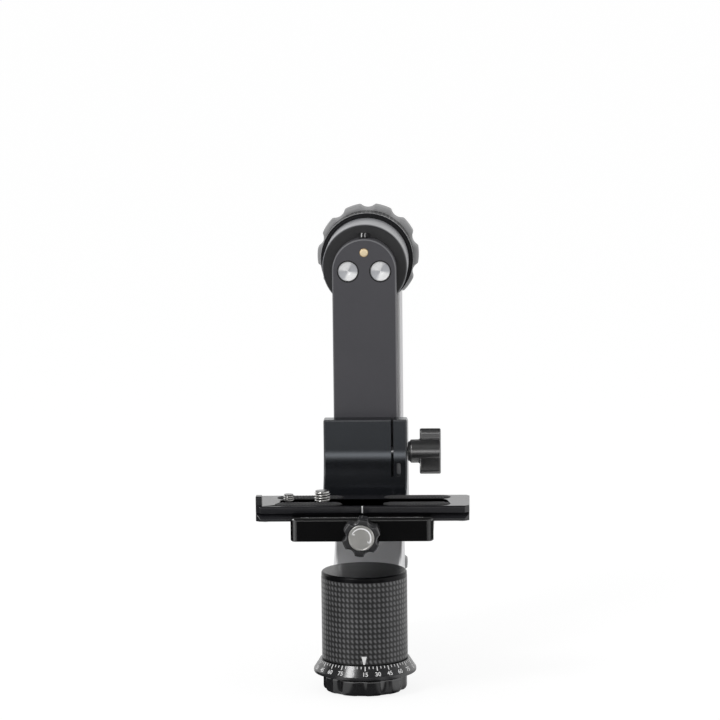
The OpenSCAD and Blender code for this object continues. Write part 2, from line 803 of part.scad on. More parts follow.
module tilt_stub() {
    rib_len = rear_tilt_bearing_y - front_tilt_bearing_y - bearing_w;
    color(bare_steel) difference() {
        union() {
            along_y(y = stub_front_y, z = tilt_axis_h)
                cylinder(d = stub_d, h = head_front_y - stub_front_y);
            along_y(y = head_front_y - stub_flange_t, z = tilt_axis_h)
                cylinder(d = stub_flange_d, h = stub_flange_t);
            along_y(y = front_tilt_bearing_y + bearing_w, z = tilt_axis_h)
                cylinder(d = stub_d + 2 * stub_rib, h = rib_len);
        }
        along_y(y = stub_front_y - overrun, z = tilt_axis_h)
            cylinder(d = tilt_axle_d + 2 * fit_gap, h = drum_len);
        stub_screw_places() along_y(y = head_front_y - stub_flange_t - overrun)
            cylinder(d = stub_screw_d, h = stub_flange_t + 2 * overrun);
        stub_screw_places() along_y(y = head_front_y - stub_flange_t)
            cylinder(d1 = stub_screw_head_d, d2 = stub_screw_d, h = (stub_screw_head_d - stub_screw_d) / 2);
    }
}

module stub_screws() {
    cone_h = (stub_screw_head_d - stub_screw_d) / 2;
    color(bare_steel) stub_screw_places() along_y(y = head_front_y - stub_flange_t) {
        cylinder(d1 = stub_screw_head_d, d2 = stub_screw_d, h = cone_h);
        cylinder(d = stub_screw_d, h = stub_screw_len);
    }
}

module tilt_inner_races() {
    color(bare_steel) for (y = [front_tilt_bearing_y, rear_tilt_bearing_y])
        along_y(y = y, z = tilt_axis_h) inner_race(stub_d, tilt_bearing_d);
}

module tilt_balls() {
    color(bare_steel) for (y = [front_tilt_bearing_y, rear_tilt_bearing_y])
        along_y(y = y, z = tilt_axis_h) ball_set(stub_d, tilt_bearing_d, tilt_balls_n);
}

module friction_ring() {
    color(rubber_black) along_y(y = arm_rear_y + drum_len + running_gap, z = tilt_axis_h)
        tube(friction_ring_d, stub_flange_d + 2 * running_gap, groove_w - running_gap);
}

module thrust_washer() {
    color(bare_steel) along_y(y = head_rear_y, z = tilt_axis_h)
        tube(washer_d, axle_thread_d + 2 * loose_gap, thrust_washer_t);
}

// Two dished washers, back to back
module spring_washers() {
    inner_r = axle_thread_d / 2 + loose_gap;
    color(bare_steel) along_y(y = head_rear_y + thrust_washer_t, z = tilt_axis_h)
        rotate_extrude() polygon([
            [inner_r, spring_washer_rise], [washer_d / 2, 0], [washer_d / 2, spring_washer_t],
            [inner_r + spring_washer_t, spring_washer_t + spring_washer_rise],
            [washer_d / 2, spring_washer_t + 2 * spring_washer_rise],
            [washer_d / 2, 2 * (spring_washer_t + spring_washer_rise)],
            [inner_r, 2 * spring_washer_t + spring_washer_rise]
        ]);
}

// Drag knob at the back of the foot

module drag_knob_hub() {
    color(charcoal) {
        along_y(y = column_rear_y - drag_stud_len, z = drag_axis_h)
            cylinder(d = drag_rod_d, h = drag_stud_len + running_gap);
        along_y(y = column_rear_y + running_gap, z = drag_axis_h)
            cylinder(d = drag_hub_neck_d, h = drag_grip_y - column_rear_y - running_gap);
        along_y(y = drag_grip_y, z = drag_axis_h)
            cylinder(d = drag_knob_d - 2 * drag_grip_wall, h = drag_grip_t + drag_hub_face_t);
    }
}

module drag_knob_grip() {
    color(rubber_black) along_y(y = drag_grip_y, z = drag_axis_h)
        lobed_ring(drag_knob_d, drag_knob_d - 2 * drag_grip_wall, drag_grip_t, grip_lobes,
            tilt_valley, large_scallop_r, tilt_grip_edge);
}

// Tilt lock knob

module tilt_knob_hub() {
    color(charcoal) difference() {
        along_y(y = tilt_hub_y, z = tilt_axis_h)
            cylinder(d = tilt_hub_d, h = tilt_grip_y + tilt_grip_t - tilt_hub_y);
        along_y(y = head_rear_y, z = tilt_axis_h)
            cylinder(d = axle_thread_d + 2 * fit_gap, h = axle_end_y + screw_end_gap - head_rear_y);
        along_y(y = tilt_cap_y, z = tilt_axis_h)
            cylinder(d = tilt_cap_d + 2 * fit_gap, h = tilt_cap_t);
    }
}

module tilt_knob_grip() {
    color(upright_grey) along_y(y = tilt_grip_y, z = tilt_axis_h)
        lobed_ring(tilt_knob_d, tilt_hub_d, tilt_grip_t, grip_lobes, tilt_valley, tilt_scallop_r,
            tilt_grip_edge);
}

module tilt_knob_cap() {
    color(bare_steel) along_y(y = tilt_cap_y, z = tilt_axis_h)
        cylinder(d = tilt_cap_d, h = tilt_cap_t);
}

// Tilt drum and swing arm

module arm_screw_places() {
    for (a = [-arm_screw_angle, 180 + arm_screw_angle])
        translate([arm_screw_pitch_r * cos(a), 0, tilt_axis_h + arm_screw_pitch_r * sin(a)]) children();
}

module tilt_drum() {
    bore_z = drum_len - drum_floor_t;
    color(drum_grey) difference() {
        along_y(y = arm_rear_y, z = tilt_axis_h) rotate_extrude() polygon([
            [0, 0], [drum_d / 2 - drum_chamfer, 0], [drum_d / 2, drum_chamfer],
            [drum_d / 2, drum_len], [0, drum_len]
        ]);
        along_y(y = drum_floor_y, z = tilt_axis_h) cylinder(d = tilt_bearing_d, h = bore_z + overrun);
        along_y(y = drum_floor_y - axle_journal_len, z = tilt_axis_h)
            cylinder(d = axle_journal_d, h = drum_floor_t);
        arm_screw_places() along_y(y = arm_rear_y - overrun)
            cylinder(d = arm_screw_shank_d, h = arm_screw_grip + screw_end_gap + overrun);
        along_y(y = arm_rear_y - overrun, z = tilt_axis_h + pin_rise)
            cylinder(d = locating_pin_d, h = pin_grip + screw_end_gap + overrun);
    }
}

// The axle is screwed into the drum and carries the tilt knob on its rear thread
module tilt_axle() {
    color(bare_steel) {
        along_y(y = drum_floor_y - axle_journal_len, z = tilt_axis_h)
            cylinder(d = axle_journal_d, h = axle_journal_len);
        along_y(y = drum_floor_y, z = tilt_axis_h)
            cylinder(d = tilt_axle_d, h = head_rear_y - drum_floor_y);
        along_y(y = head_rear_y, z = tilt_axis_h)
            cylinder(d = axle_thread_d, h = axle_end_y - head_rear_y);
    }
}

module tilt_outer_races() {
    color(bare_steel) for (y = [front_tilt_bearing_y, rear_tilt_bearing_y])
        along_y(y = y, z = tilt_axis_h) outer_race(stub_d, tilt_bearing_d);
}

// Half of the arm's section from its middle line, with chamfered corners
module arm_half_section(from_x) {
    polygon([
        [from_x, 0], [arm_w / 2 - arm_chamfer, 0], [arm_w / 2, arm_chamfer],
        [arm_w / 2, arm_t - arm_chamfer], [arm_w / 2 - arm_chamfer, arm_t], [from_x, arm_t]
    ]);
}

module swing_arm() {
    color(charcoal) difference() {
        union() {
            translate([0, arm_front_y, arm_bottom_z]) linear_extrude(height = arm_end_z - arm_bottom_z) {
                arm_half_section(0);
                mirror([1, 0]) arm_half_section(0);
            }
            along_y(y = arm_front_y, z = arm_end_z) rotate_extrude() arm_half_section(0);
        }
        arm_screw_places() {
            along_y(y = arm_front_y - overrun) cylinder(d = arm_screw_shank_d, h = arm_t + 2 * overrun);
            along_y(y = arm_front_y - overrun)
                cylinder(d = arm_screw_head_d + 2 * arm_screw_rim, h = arm_screw_recess + overrun);
            along_y(y = arm_front_y)
                cylinder(d = arm_screw_head_d, h = arm_screw_inset + arm_screw_head_t);
        }
        along_y(y = arm_front_y - overrun, z = tilt_axis_h + pin_rise)
            cylinder(d = locating_pin_d, h = arm_t + 2 * overrun);
        along_y(y = arm_rear_y - stop_screw_len, z = stop_screw_z)
            cylinder(d = stop_screw_d, h = stop_screw_len + overrun);
    }
}

// Large turned heads with a small hollow in the middle
module arm_screws() {
    shank_len = arm_t + arm_screw_grip - arm_screw_inset - arm_screw_head_t;
    color(bare_steel) arm_screw_places() difference() {
        union() {
            along_y(y = arm_front_y + arm_screw_inset)
                cylinder(d = arm_screw_head_d, h = arm_screw_head_t);
            along_y(y = arm_front_y + arm_screw_inset + arm_screw_head_t)
                cylinder(d = arm_screw_shank_d, h = shank_len);
        }
        along_y(y = arm_front_y + arm_screw_inset)
            cylinder(d1 = arm_screw_socket_d, d2 = 0, h = arm_screw_socket_t);
    }
}

module locating_pin() {
    color(brass) along_y(y = arm_front_y - pin_proud, z = tilt_axis_h + pin_rise)
        cylinder(d = locating_pin_d, h = pin_proud + arm_t + pin_grip);
}

module arm_stop_screw() {
    color(bare_steel) {
        along_y(y = arm_rear_y - stop_screw_len, z = stop_screw_z)
            cylinder(d = stop_screw_d, h = stop_screw_len);
        along_y(y = arm_rear_y, z = stop_screw_z) cylinder(d = stop_screw_head_d, h = stop_screw_proud);
    }
}

// Carriage

module carriage() {
    w = carriage_w;
    channel_w = arm_w + 2 * slide_gap;
    color(black_gloss) difference() {
        union() {
            translate([0, block_front_y, clamp_bottom_h])
                rounded_bar(w, block_rear_y - block_front_y, carriage_h, block_edge);
            difference() {
                translate([-w / 2, lip_front_y, clamp_bottom_h])
                    cube([w, block_front_y + block_edge - lip_front_y, front_sweep_z - clamp_bottom_h]);
                along_x(-w, front_sweep_y, front_sweep_z)
                    cylinder(r = front_sweep_r, h = 2 * w, $fn = 120);
                translate([-w, 0, leg_top_z]) cube([2 * w, front_sweep_y, front_sweep_r + overrun]);
                translate([-w, 0, clamp_bottom_h - overrun])
                    cube([2 * w, clamp_rear_y, jaw_top_z - clamp_bottom_h + overrun + running_gap]);
            }
            translate([-tongue_w / 2, tongue_front_y, clamp_bottom_h])
                cube([tongue_w, clamp_rear_y - tongue_front_y + overrun, tongue_t]);
        }
        along_length(w + 2 * overrun) polygon([
            [arm_front_y, block_top_z], [block_rear_y, block_top_z - block_slope_drop],
            [block_rear_y + overrun, block_top_z - block_slope_drop],
            [block_rear_y + overrun, block_top_z + overrun], [arm_front_y, block_top_z + overrun]
        ]);
        translate([-channel_w / 2, arm_front_y - slide_gap, clamp_bottom_h - overrun])
            cube([channel_w, arm_t + 2 * slide_gap, carriage_h + 2 * overrun]);
        translate([slit_x - slit_w / 2, front_sweep_y, slit_bottom_z])
            cube([slit_w, arm_front_y - front_sweep_y, slit_len + overrun]);
        translate([-stop_groove_w / 2, arm_rear_y, clamp_bottom_h - overrun])
            cube([stop_groove_w, stop_groove_t, stop_groove_h + overrun]);
        for (x = [-liner_x, liner_x])
            translate([x - liner_w / 2, arm_rear_y, liner_z]) cube([liner_w, liner_t + slide_gap, liner_h]);
        along_x(wing_hole_x, wing_axis_y, wing_axis_z)
            cylinder(d = wing_screw_d + 2 * fit_gap, h = w);
        translate([relief_x, front_sweep_y, slit_bottom_z + relief_h / 2]) rotate([-90, 90, 0])
            stadium(relief_h, relief_w, relief_floor_y - front_sweep_y);
        clamp_screw_places() translate([0, 0, clamp_bottom_h - overrun])
            cylinder(d = clamp_screw_d, h = tongue_t + 2 * overrun);
        clamp_screw_places() translate([0, 0, clamp_bottom_h - overrun])
            cylinder(d = clamp_screw_head_d, h = overrun + clamp_screw_inset);
        clamp_screw_places() translate([0, 0, clamp_bottom_h + clamp_screw_inset])
            cylinder(d1 = clamp_screw_head_d, d2 = clamp_screw_d, h = clamp_screw_head_t);
    }
}

module slide_liners() {
    color(rubber_black) for (x = [-liner_x, liner_x])
        translate([x - liner_w / 2, arm_rear_y + slide_gap, liner_z]) cube([liner_w, liner_t, liner_h]);
}

module relief_pin() {
    pin_z = slit_bottom_z + (relief_h - relief_pin_h) / 2;
    color(bare_steel) translate([relief_x, relief_floor_y - relief_pin_d / 2, pin_z])
        cylinder(d = relief_pin_d, h = relief_pin_h);
}

module clamp_screw_places() {
    for (x = [-clamp_screw_x, clamp_screw_x], y = [clamp_screw_front_y, clamp_screw_rear_y])
        translate([x, y, 0]) children();
}

// Outline of a jaw in Y and Z, from its hook over the dovetail out to out_y
module jaw_hook(out_y) {
    inner_y = plate_w / 2 + dovetail_gap;
    hook = jaw_top_z - (plate_z + dovetail_lip);
    polygon([
        [out_y, clamp_floor_z], [out_y, jaw_top_z], [inner_y - hook, jaw_top_z],
        [inner_y, jaw_top_z - hook], [inner_y, clamp_floor_z]
    ]);
}

// Stands an outline drawn in Y and Z along X, centred, of length len
module along_length(len) {
    translate([-len / 2, 0, 0]) rotate([90, 0, 90]) linear_extrude(height = len) children();
}

module clamp_base() {
    depth = clamp_rear_y - clamp_base_front_y;
    color(black_gloss) difference() {
        union() {
            translate([-clamp_len / 2, clamp_base_front_y, clamp_bottom_h])
                cube([clamp_len, depth, clamp_floor_t]);
            along_length(clamp_len) jaw_hook(clamp_rear_y);
        }
        translate([-tongue_w / 2 - tongue_gap, tongue_front_y - tongue_gap, clamp_bottom_h - overrun])
            cube([tongue_w + 2 * tongue_gap, depth, tongue_t + overrun]);
        along_y(y = jaw_front_y, z = clamp_knob_z)
            cylinder(d = clamp_knob_screw_d + 2 * fit_gap, h = clamp_screw_tip_y + overrun - jaw_front_y);
        for (x = [-guide_pin_x, guide_pin_x])
            along_y(x, guide_pin_front_y, clamp_knob_z) cylinder(d = guide_pin_d, h = guide_pin_len);
        clamp_screw_places() translate([0, 0, clamp_bottom_h])
            cylinder(d = clamp_screw_d, h = clamp_screw_len + fit_gap);
    }
}

module clamp_screws() {
    color(bare_steel) clamp_screw_places() translate([0, 0, clamp_bottom_h + clamp_screw_inset])
        rotate_extrude() polygon([
            [0, 0], [clamp_screw_head_d / 2, 0], [clamp_screw_d / 2, clamp_screw_head_t],
            [clamp_screw_d / 2, clamp_screw_len - clamp_screw_inset],
            [0, clamp_screw_len - clamp_screw_inset]
        ]);
}

module jaw_guide_pins() {
    color(bare_steel) for (x = [-guide_pin_x, guide_pin_x])
        along_y(x, guide_pin_front_y, clamp_knob_z) cylinder(d = guide_pin_d, h = guide_pin_len);
}

// Two flat wings set to opposite sides of a round hub
module wing_knob() {
    tip_z = wing_span / 2 - wing_tip_r;
    color(black_gloss) difference() {
        union() {
            along_x(wing_face_x, wing_axis_y, wing_axis_z) cylinder(d = wing_neck_d, h = wing_neck_len);
            along_x(wing_face_x + wing_neck_len, wing_axis_y, wing_axis_z)
                cylinder(d = wing_hub_d, h = wing_collar_len + wing_len);
            for (side = [-1, 1]) {
                wing_y = wing_axis_y + side * wing_offset;
                along_x(wing_body_x, wing_y, wing_axis_z + side * tip_z)
                    cylinder(r = wing_tip_r, h = wing_len);
                translate([wing_body_x, wing_y - wing_tip_r, wing_axis_z + (side - 1) / 2 * tip_z])
                    cube([wing_len, 2 * wing_tip_r, tip_z]);
            }
        }
        along_x(0, wing_axis_y, wing_axis_z)
            cylinder(d = wing_screw_d, h = wing_screw_end_x);
    }
}

module wing_knob_screw() {
    start_x = wing_hole_x + running_gap;
    color(bare_steel) along_x(start_x, wing_axis_y, wing_axis_z)
        cylinder(d = wing_screw_d, h = wing_screw_end_x - start_x);
}

// Clamp jaw and its knob

module clamp_jaw() {
    color(black_gloss) difference() {
        union() {
            translate([-clamp_len / 2, jaw_front_y, clamp_bottom_h])
                cube([clamp_len, jaw_t, clamp_floor_t]);
            mirror([0, 1, 0]) along_length(clamp_len) jaw_hook(-jaw_front_y);
        }
        along_y(y = jaw_front_y - overrun, z = clamp_knob_z)
            cylinder(d = clamp_knob_screw_d + 2 * fit_gap, h = jaw_t + 2 * overrun);
        for (x = [-guide_pin_x, guide_pin_x])
            along_y(x, jaw_front_y + clamp_edge, clamp_knob_z)
                cylinder(d = guide_pin_d + 2 * fit_gap, h = jaw_t);
        for (side = [-1, 1])
            translate([side * clamp_len / 2, jaw_front_y, clamp_bottom_h - overrun]) rotate([0, 0, 45])
                translate([-clamp_edge, -clamp_edge, 0])
                    cube([2 * clamp_edge, 2 * clamp_edge, carriage_h]);
        translate([-clamp_len, jaw_front_y, jaw_top_z]) rotate([45, 0, 0])
            translate([0, -clamp_edge, -clamp_edge]) cube([2 * clamp_len, 2 * clamp_edge, 2 * clamp_edge]);
    }
}

module clamp_knob_grip() {
    color(black_gloss) difference() {
        union() {
            along_y(y = clamp_grip_y, z = clamp_knob_z)
                lobed_ring(clamp_knob_d, 0, clamp_grip_t, clamp_lobes, clamp_valley, clamp_scallop_r,
                    clamp_grip_edge, clamp_lobe_angle);
            along_y(y = clamp_grip_y + clamp_grip_t, z = clamp_knob_z)
                cylinder(d = clamp_neck_d, h = clamp_neck_len - running_gap);
        }
        along_y(y = clamp_grip_y - overrun, z = clamp_knob_z)
            cylinder(d = clamp_disc_d, h = clamp_disc_t - clamp_disc_proud + overrun);
        along_y(y = clamp_grip_y, z = clamp_knob_z)
            cylinder(d = clamp_knob_screw_d, h = clamp_grip_t + clamp_neck_len);
    }
}

module clamp_knob_disc() {
    color(bare_steel) along_y(y = clamp_grip_y - clamp_disc_proud, z = clamp_knob_z)
        cylinder(d = clamp_disc_d, h = clamp_disc_t);
}

module clamp_knob_screw() {
    start_y = clamp_grip_y + clamp_disc_t - clamp_disc_proud;
    color(bare_steel) along_y(y = start_y, z = clamp_knob_z)
        cylinder(d = clamp_knob_screw_d, h = clamp_screw_tip_y - start_y);
}

// Camera plate

module plate_outline() {
    h = plate_len / 2;
    w = plate_w / 2;
    c = plate_corner;
    polygon([
        [-h + c, -w], [h - c, -w], [h, -w + c], [h, w - c],
        [h - c, w], [-h + c, w], [-h, w - c], [-h, -w + c]
    ]);
}

module plate_section() {
    w = plate_w / 2;
    low = plate_z + dovetail_lip;
    polygon([
        [-w + plate_edge, plate_z], [-w, plate_z + plate_edge], [-w, low],
        [-w + dovetail_depth, slab_z], [-w, slab_z], [-w, plate_top_z - plate_edge],
        [-w + plate_edge, plate_top_z], [w - plate_edge, plate_top_z],
        [w, plate_top_z - plate_edge], [w, slab_z], [w - dovetail_depth, slab_z], [w, low],
        [w, plate_z + plate_edge], [w - plate_edge, plate_z]
    ]);
}

module pad_places() {
    for (x = [-pad_x, pad_x], y = [-pad_y, pad_y]) translate([x, y, 0]) children();
}

module plate() {
    color(black_gloss) difference() {
        intersection() {
            along_length(plate_len) plate_section();
            translate([0, 0, plate_z - overrun]) linear_extrude(height = plate_t + 2 * overrun)
                plate_outline();
        }
        translate([0, 0, plate_z - overrun]) stadium(slot_len, slot_w, plate_t + 2 * overrun);
        translate([0, 0, plate_z - overrun])
            stadium(slot_len + tee_slot_w - slot_w, tee_slot_w, tee_slot_t + overrun);
        pad_places() translate([0, 0, plate_top_z + pad_proud - pad_t]) stadium(pad_len, pad_w, pad_t);
        for (x = [-plate_stop_x, plate_stop_x])
            translate([x, 0, plate_z - overrun]) cylinder(d = plate_stop_d, h = plate_stop_depth + overrun);
    }
}

module plate_pads() {
    color(rubber_black) pad_places() translate([0, 0, plate_top_z + pad_proud - pad_t])
        stadium(pad_len, pad_w, pad_t);
}

module plate_lip() {
    front_y = -plate_w / 2 + plate_corner;
    color(black_gloss) translate([-plate_len / 2, front_y, plate_top_z]) rotate([90, 0, 90])
        linear_extrude(height = lip_t) polygon([
            [0, 0], [lip_w, 0], [lip_w, lip_h - lip_edge], [lip_w - lip_edge, lip_h],
            [lip_edge, lip_h], [0, lip_h - lip_edge]
        ]);
}

module plate_stop_screws() {
    color(bare_steel) for (x = [-plate_stop_x, plate_stop_x]) {
        translate([x, 0, plate_z]) cylinder(d = plate_stop_d, h = plate_stop_depth);
        translate([x, 0, plate_z - plate_stop_proud]) cylinder(d = stop_head_d, h = plate_stop_proud);
    }
}

// A camera screw with its head in the plate's lower slot and its thread above the plate
module camera_screw(thread_d, head_d, rise) {
    head_z = plate_z + screw_head_lift;
    translate([0, 0, head_z]) cylinder(d = head_d, h = screw_head_h);
    thread_z = plate_top_z + screw_neck_rise;
    translate([0, 0, head_z])
        cylinder(d = thread_d - 2 * screw_neck, h = plate_top_z + rise / 2 - head_z);
    translate([0, 0, thread_z])
        cylinder(d = thread_d, h = plate_top_z + rise - screw_tip - thread_z);
    translate([0, 0, plate_top_z + rise - screw_tip])
        cylinder(d1 = thread_d, d2 = thread_d - 2 * screw_tip, h = screw_tip);
}

module screw_washer(thread_d) {
    washer_z = plate_z + tee_slot_t - washer_top_gap - washer_t;
    translate([0, 0, washer_z])
        tube(tee_slot_w - 2 * washer_edge_gap, thread_d - 2 * screw_neck + 2 * fit_gap, washer_t);
}

module large_camera_screw() {
    color(bare_steel) translate([large_screw_x, 0, 0])
        camera_screw(large_screw_d, large_head_d, large_screw_rise);
}

module large_screw_washer() {
    color(bare_steel) translate([large_screw_x, 0, 0]) screw_washer(large_screw_d);
}

module small_camera_screw() {
    color(bare_steel) translate([small_screw_x, 0, 0])
        camera_screw(small_screw_d, small_head_d, small_screw_rise);
}

module small_screw_washer() {
    color(bare_steel) translate([small_screw_x, 0, 0]) screw_washer(small_screw_d);
}

base_core();
thread_insert();
degree_ring();
push_pins();
brake_ring();
spindle_nut();
pan_inner_races();
pan_balls();
lock_ring();
lock_ring_grip();
pan_housing();
carbon_sleeve();
base_cap();
pan_outer_races();
upright();
foot_screws();
brake_shoe();
drag_rod();
tilt_stub();
stub_screws();
tilt_inner_races();
tilt_balls();
friction_ring();
thrust_washer();
spring_washers();
drag_knob_hub();
drag_knob_grip();
tilt_knob_hub();
tilt_knob_grip();
tilt_knob_cap();
tilt_drum();
tilt_axle();
tilt_outer_races();
swing_arm();
arm_screws();
locating_pin();
arm_stop_screw();
carriage();
slide_liners();
relief_pin();
clamp_base();
clamp_screws();
jaw_guide_pins();
wing_knob();
wing_knob_screw();
clamp_jaw();
clamp_knob_grip();
clamp_knob_disc();
clamp_knob_screw();
plate();
plate_pads();
plate_lip();
plate_stop_screws();
large_camera_screw();
large_screw_washer();
small_camera_screw();
small_screw_washer();
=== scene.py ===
import math

import bmesh
import bpy
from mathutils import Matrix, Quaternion, Vector


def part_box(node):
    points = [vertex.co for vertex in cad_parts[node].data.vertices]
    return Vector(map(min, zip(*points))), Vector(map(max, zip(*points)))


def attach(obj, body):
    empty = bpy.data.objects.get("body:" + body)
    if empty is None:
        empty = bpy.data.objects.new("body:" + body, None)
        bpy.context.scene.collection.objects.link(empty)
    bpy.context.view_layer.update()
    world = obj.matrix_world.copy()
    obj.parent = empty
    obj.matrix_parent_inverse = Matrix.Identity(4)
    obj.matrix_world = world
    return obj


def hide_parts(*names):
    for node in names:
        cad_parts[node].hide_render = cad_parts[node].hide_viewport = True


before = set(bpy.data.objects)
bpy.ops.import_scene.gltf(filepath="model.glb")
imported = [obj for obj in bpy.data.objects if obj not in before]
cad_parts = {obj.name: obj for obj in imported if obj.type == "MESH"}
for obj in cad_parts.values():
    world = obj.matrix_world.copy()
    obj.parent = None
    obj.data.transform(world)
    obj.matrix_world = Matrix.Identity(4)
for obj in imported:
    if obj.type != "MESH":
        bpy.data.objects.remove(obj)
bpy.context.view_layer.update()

# The camera: a long lens in front of the head, a little to its right and looking
# slightly down, as the photograph was taken. It hangs a fraction of a degree out
# of level, so the upright leans the same way as it does there.
MM = 0.001
lens_length = 190.0
lens_distance = 2239.6 * MM
lens_height = 518.1 * MM
lens_turn = math.radians(2.0)
lens_roll = math.radians(-0.65)
aim = Vector((-1.0, 0, 199.8)) * MM

camera_data = bpy.data.cameras.new("studio_camera")
camera_data.lens = lens_length
camera_data.sensor_width = 36.0
camera_data.clip_end = 100.0
camera = bpy.data.objects.new("studio_camera", camera_data)
bpy.context.scene.collection.objects.link(camera)
camera.location = (
    lens_distance * math.sin(lens_turn),
    -lens_distance * math.cos(lens_turn),
    lens_height,
)
camera.rotation_mode = "QUATERNION"
camera.rotation_quaternion = (aim - camera.location).to_track_quat("-Z", "Y") @ Quaternion(
    (0, 0, 1), lens_roll
)
bpy.context.scene.camera = camera
bpy.context.scene.view_settings.view_transform = "Standard"


# The studio: a pale room with a white backdrop, and behind the camera a darker front with a
# bright strip along the horizon, a tall soft box on each side and a dark wall far to the left.
# Only metal and gloss show these. A key lamp at the upper left draws the soft shadow.
class Wire:
    """A value, colour or vector on its way through a shader, which can be reckoned with."""

    def __init__(self, tree, socket):
        self.tree, self.socket = tree, socket

    def reckon(self, operation, *terms):
        node = self.tree.nodes.new("ShaderNodeMath")
        node.operation = operation
        for slot, term in zip(node.inputs, terms):
            plug(self.tree, slot, term)
        return Wire(self.tree, node.outputs[0])

    def __add__(self, other):
        return self.reckon("ADD", self, other)

    def __sub__(self, other):
        return self.reckon("SUBTRACT", self, other)

    def __rsub__(self, other):
        return self.reckon("SUBTRACT", other, self)

    def __mul__(self, other):
        return self.reckon("MULTIPLY", self, other)

    def __truediv__(self, other):
        return self.reckon("DIVIDE", self, other)

    def __pow__(self, other):
        return self.reckon("POWER", self, other)

    def __abs__(self):
        return self.reckon("ABSOLUTE", self)

    __radd__, __rmul__ = __add__, __mul__

    def fold(self, scale=1.0):
        """Distance from the nearest whole number, times scale: 0 on the number, half midway."""
        return self.reckon("PINGPONG", self, 0.5) * scale

    def hump(self):
        """A rounded back over each whole number: 1 on the number, 0 midway."""
        return 1 - self.fold(2.0) ** 2.0

    def ease(self, low, high):
        """Runs smoothly from 0 at low to 1 at high."""
        node = self.tree.nodes.new("ShaderNodeMapRange")
        node.interpolation_type = "SMOOTHSTEP"
        for slot, term in zip(node.inputs, (self, low, high)):
            plug(self.tree, slot, term)
        return Wire(self.tree, node.outputs[0])

    def within(self, reach, middle, soft=4):
        """1 for values near middle, falling softly to 0 at about reach away from it."""
        return 1 - abs(self - middle).ease(reach - soft, reach + soft)

    def angle_from(self, other):
        """The angle whose sine goes with this value and whose cosine goes with the other."""
        return self.reckon("ARCTAN2", self, other)


def plug(tree, slot, term):
    """Sets a socket to a number, colour or vector, or links a wire to it."""
    if isinstance(term, Wire):
        tree.links.new(term.socket, slot)
    elif hasattr(slot.default_value, "__len__") and len(slot.default_value) > len(term):
        slot.default_value = (*term, 1.0)
    else:
        slot.default_value = term


def grey(colour):
    """A plain number as a grey, and anything else as it is."""
    return (colour,) * 3 if isinstance(colour, (int, float)) else colour


class Shading:
    """A node tree under construction, for a finish, the floor or the room."""

    def __init__(self, owner):
        owner.use_nodes = True
        self.tree = owner.node_tree
        self.tree.nodes.clear()

    def node(self, kind, settings=None, sockets=None, out=0):
        """Adds one node: its settings, with a ramp's stops, then its sockets by name or number."""
        made = self.tree.nodes.new("ShaderNode" + kind)
        for setting, value in (settings or {}).items():
            if setting == "stops":
                ramp = made.color_ramp
                while len(ramp.elements) < len(value):
                    ramp.elements.new(1.0)
                for element, (place, colour) in zip(ramp.elements, value):
                    element.position = place
                    element.color = (*grey(colour), 1.0)
            else:
                setattr(made, setting, value)
        for slot, term in (sockets or {}).items():
            plug(self.tree, made.inputs[slot], term)
        return Wire(self.tree, made.outputs[out]) if made.outputs else None

    def mix(self, first, second, share):
        """Blends two colours. A plain number stands for a grey."""
        return self.node("Mix", {"data_type": "RGBA"}, {0: share, 6: grey(first), 7: grey(second)}, out=2)

    def split(self, vector):
        """The three parts of a vector."""
        x = self.node("SeparateXYZ", None, {0: vector})
        return x, *(Wire(self.tree, x.socket.node.outputs[i]) for i in (1, 2))


room_light = 0.78
backdrop_light = 1.0
front_light = ((0.0, 0.05), (0.49, 0.3), (0.505, 1.5), (0.57, 1.5), (0.63, 0.25), (0.68, 0.02), (1.0, 0.02))
back_light = ((0.0, 0.9), (0.5, 1.0), (0.68, 1.0), (0.80, 0.30), (0.90, 0.04), (1.0, 0.04))
front_from, front_full = 0.15, 0.75
dark_side, dark_from, dark_to = 0.05, (62, 70), (105, 118)
left_box_light, left_box_place = 1.6, (-40, 12, -0.05, 0.85)
right_box_light, right_box_place = 0.8, (34, 8, -0.05, 0.6)
box_edge = 0.05

room = bpy.data.worlds.new("room")
bpy.context.scene.world = room
walls = Shading(room)
ray = walls.node("LightPath", out="Is Camera Ray")
mirrored = Wire(walls.tree, ray.socket.node.outputs["Is Glossy Ray"]) + Wire(
    walls.tree, ray.socket.node.outputs["Is Transmission Ray"]
)
east, north, up = walls.split(walls.node("TexCoord", out="Generated"))
height = up * 0.5 + 0.5
bearing = east.angle_from(0 - north) * math.degrees(1)
leftward = 0 - bearing
front = walls.node("ValToRGB", {"stops": front_light}, {0: height})
back = walls.node("ValToRGB", {"stops": back_light}, {0: height})
ends = walls.mix(back, front, (0 - north).ease(front_from, front_full))
around = walls.mix(ends, dark_side, leftward.ease(*dark_from) * (1 - leftward.ease(*dark_to)))


def soft_box(middle, half_width, low, high):
    """1 inside a soft box at a bearing, between two heights."""
    rise = up.ease(low - box_edge, low + box_edge) * (1 - up.ease(high - box_edge, high + box_edge))
    return bearing.within(half_width, middle) * rise


left_box = walls.mix(around, left_box_light, soft_box(*left_box_place))
seen_in_metal = walls.mix(left_box, right_box_light, soft_box(*right_box_place))
lit = walls.mix(room_light, seen_in_metal, mirrored)
shown = walls.mix(lit, backdrop_light, ray)
walls.node("OutputWorld", None, {"Surface": walls.node("Background", None, {"Color": shown})})

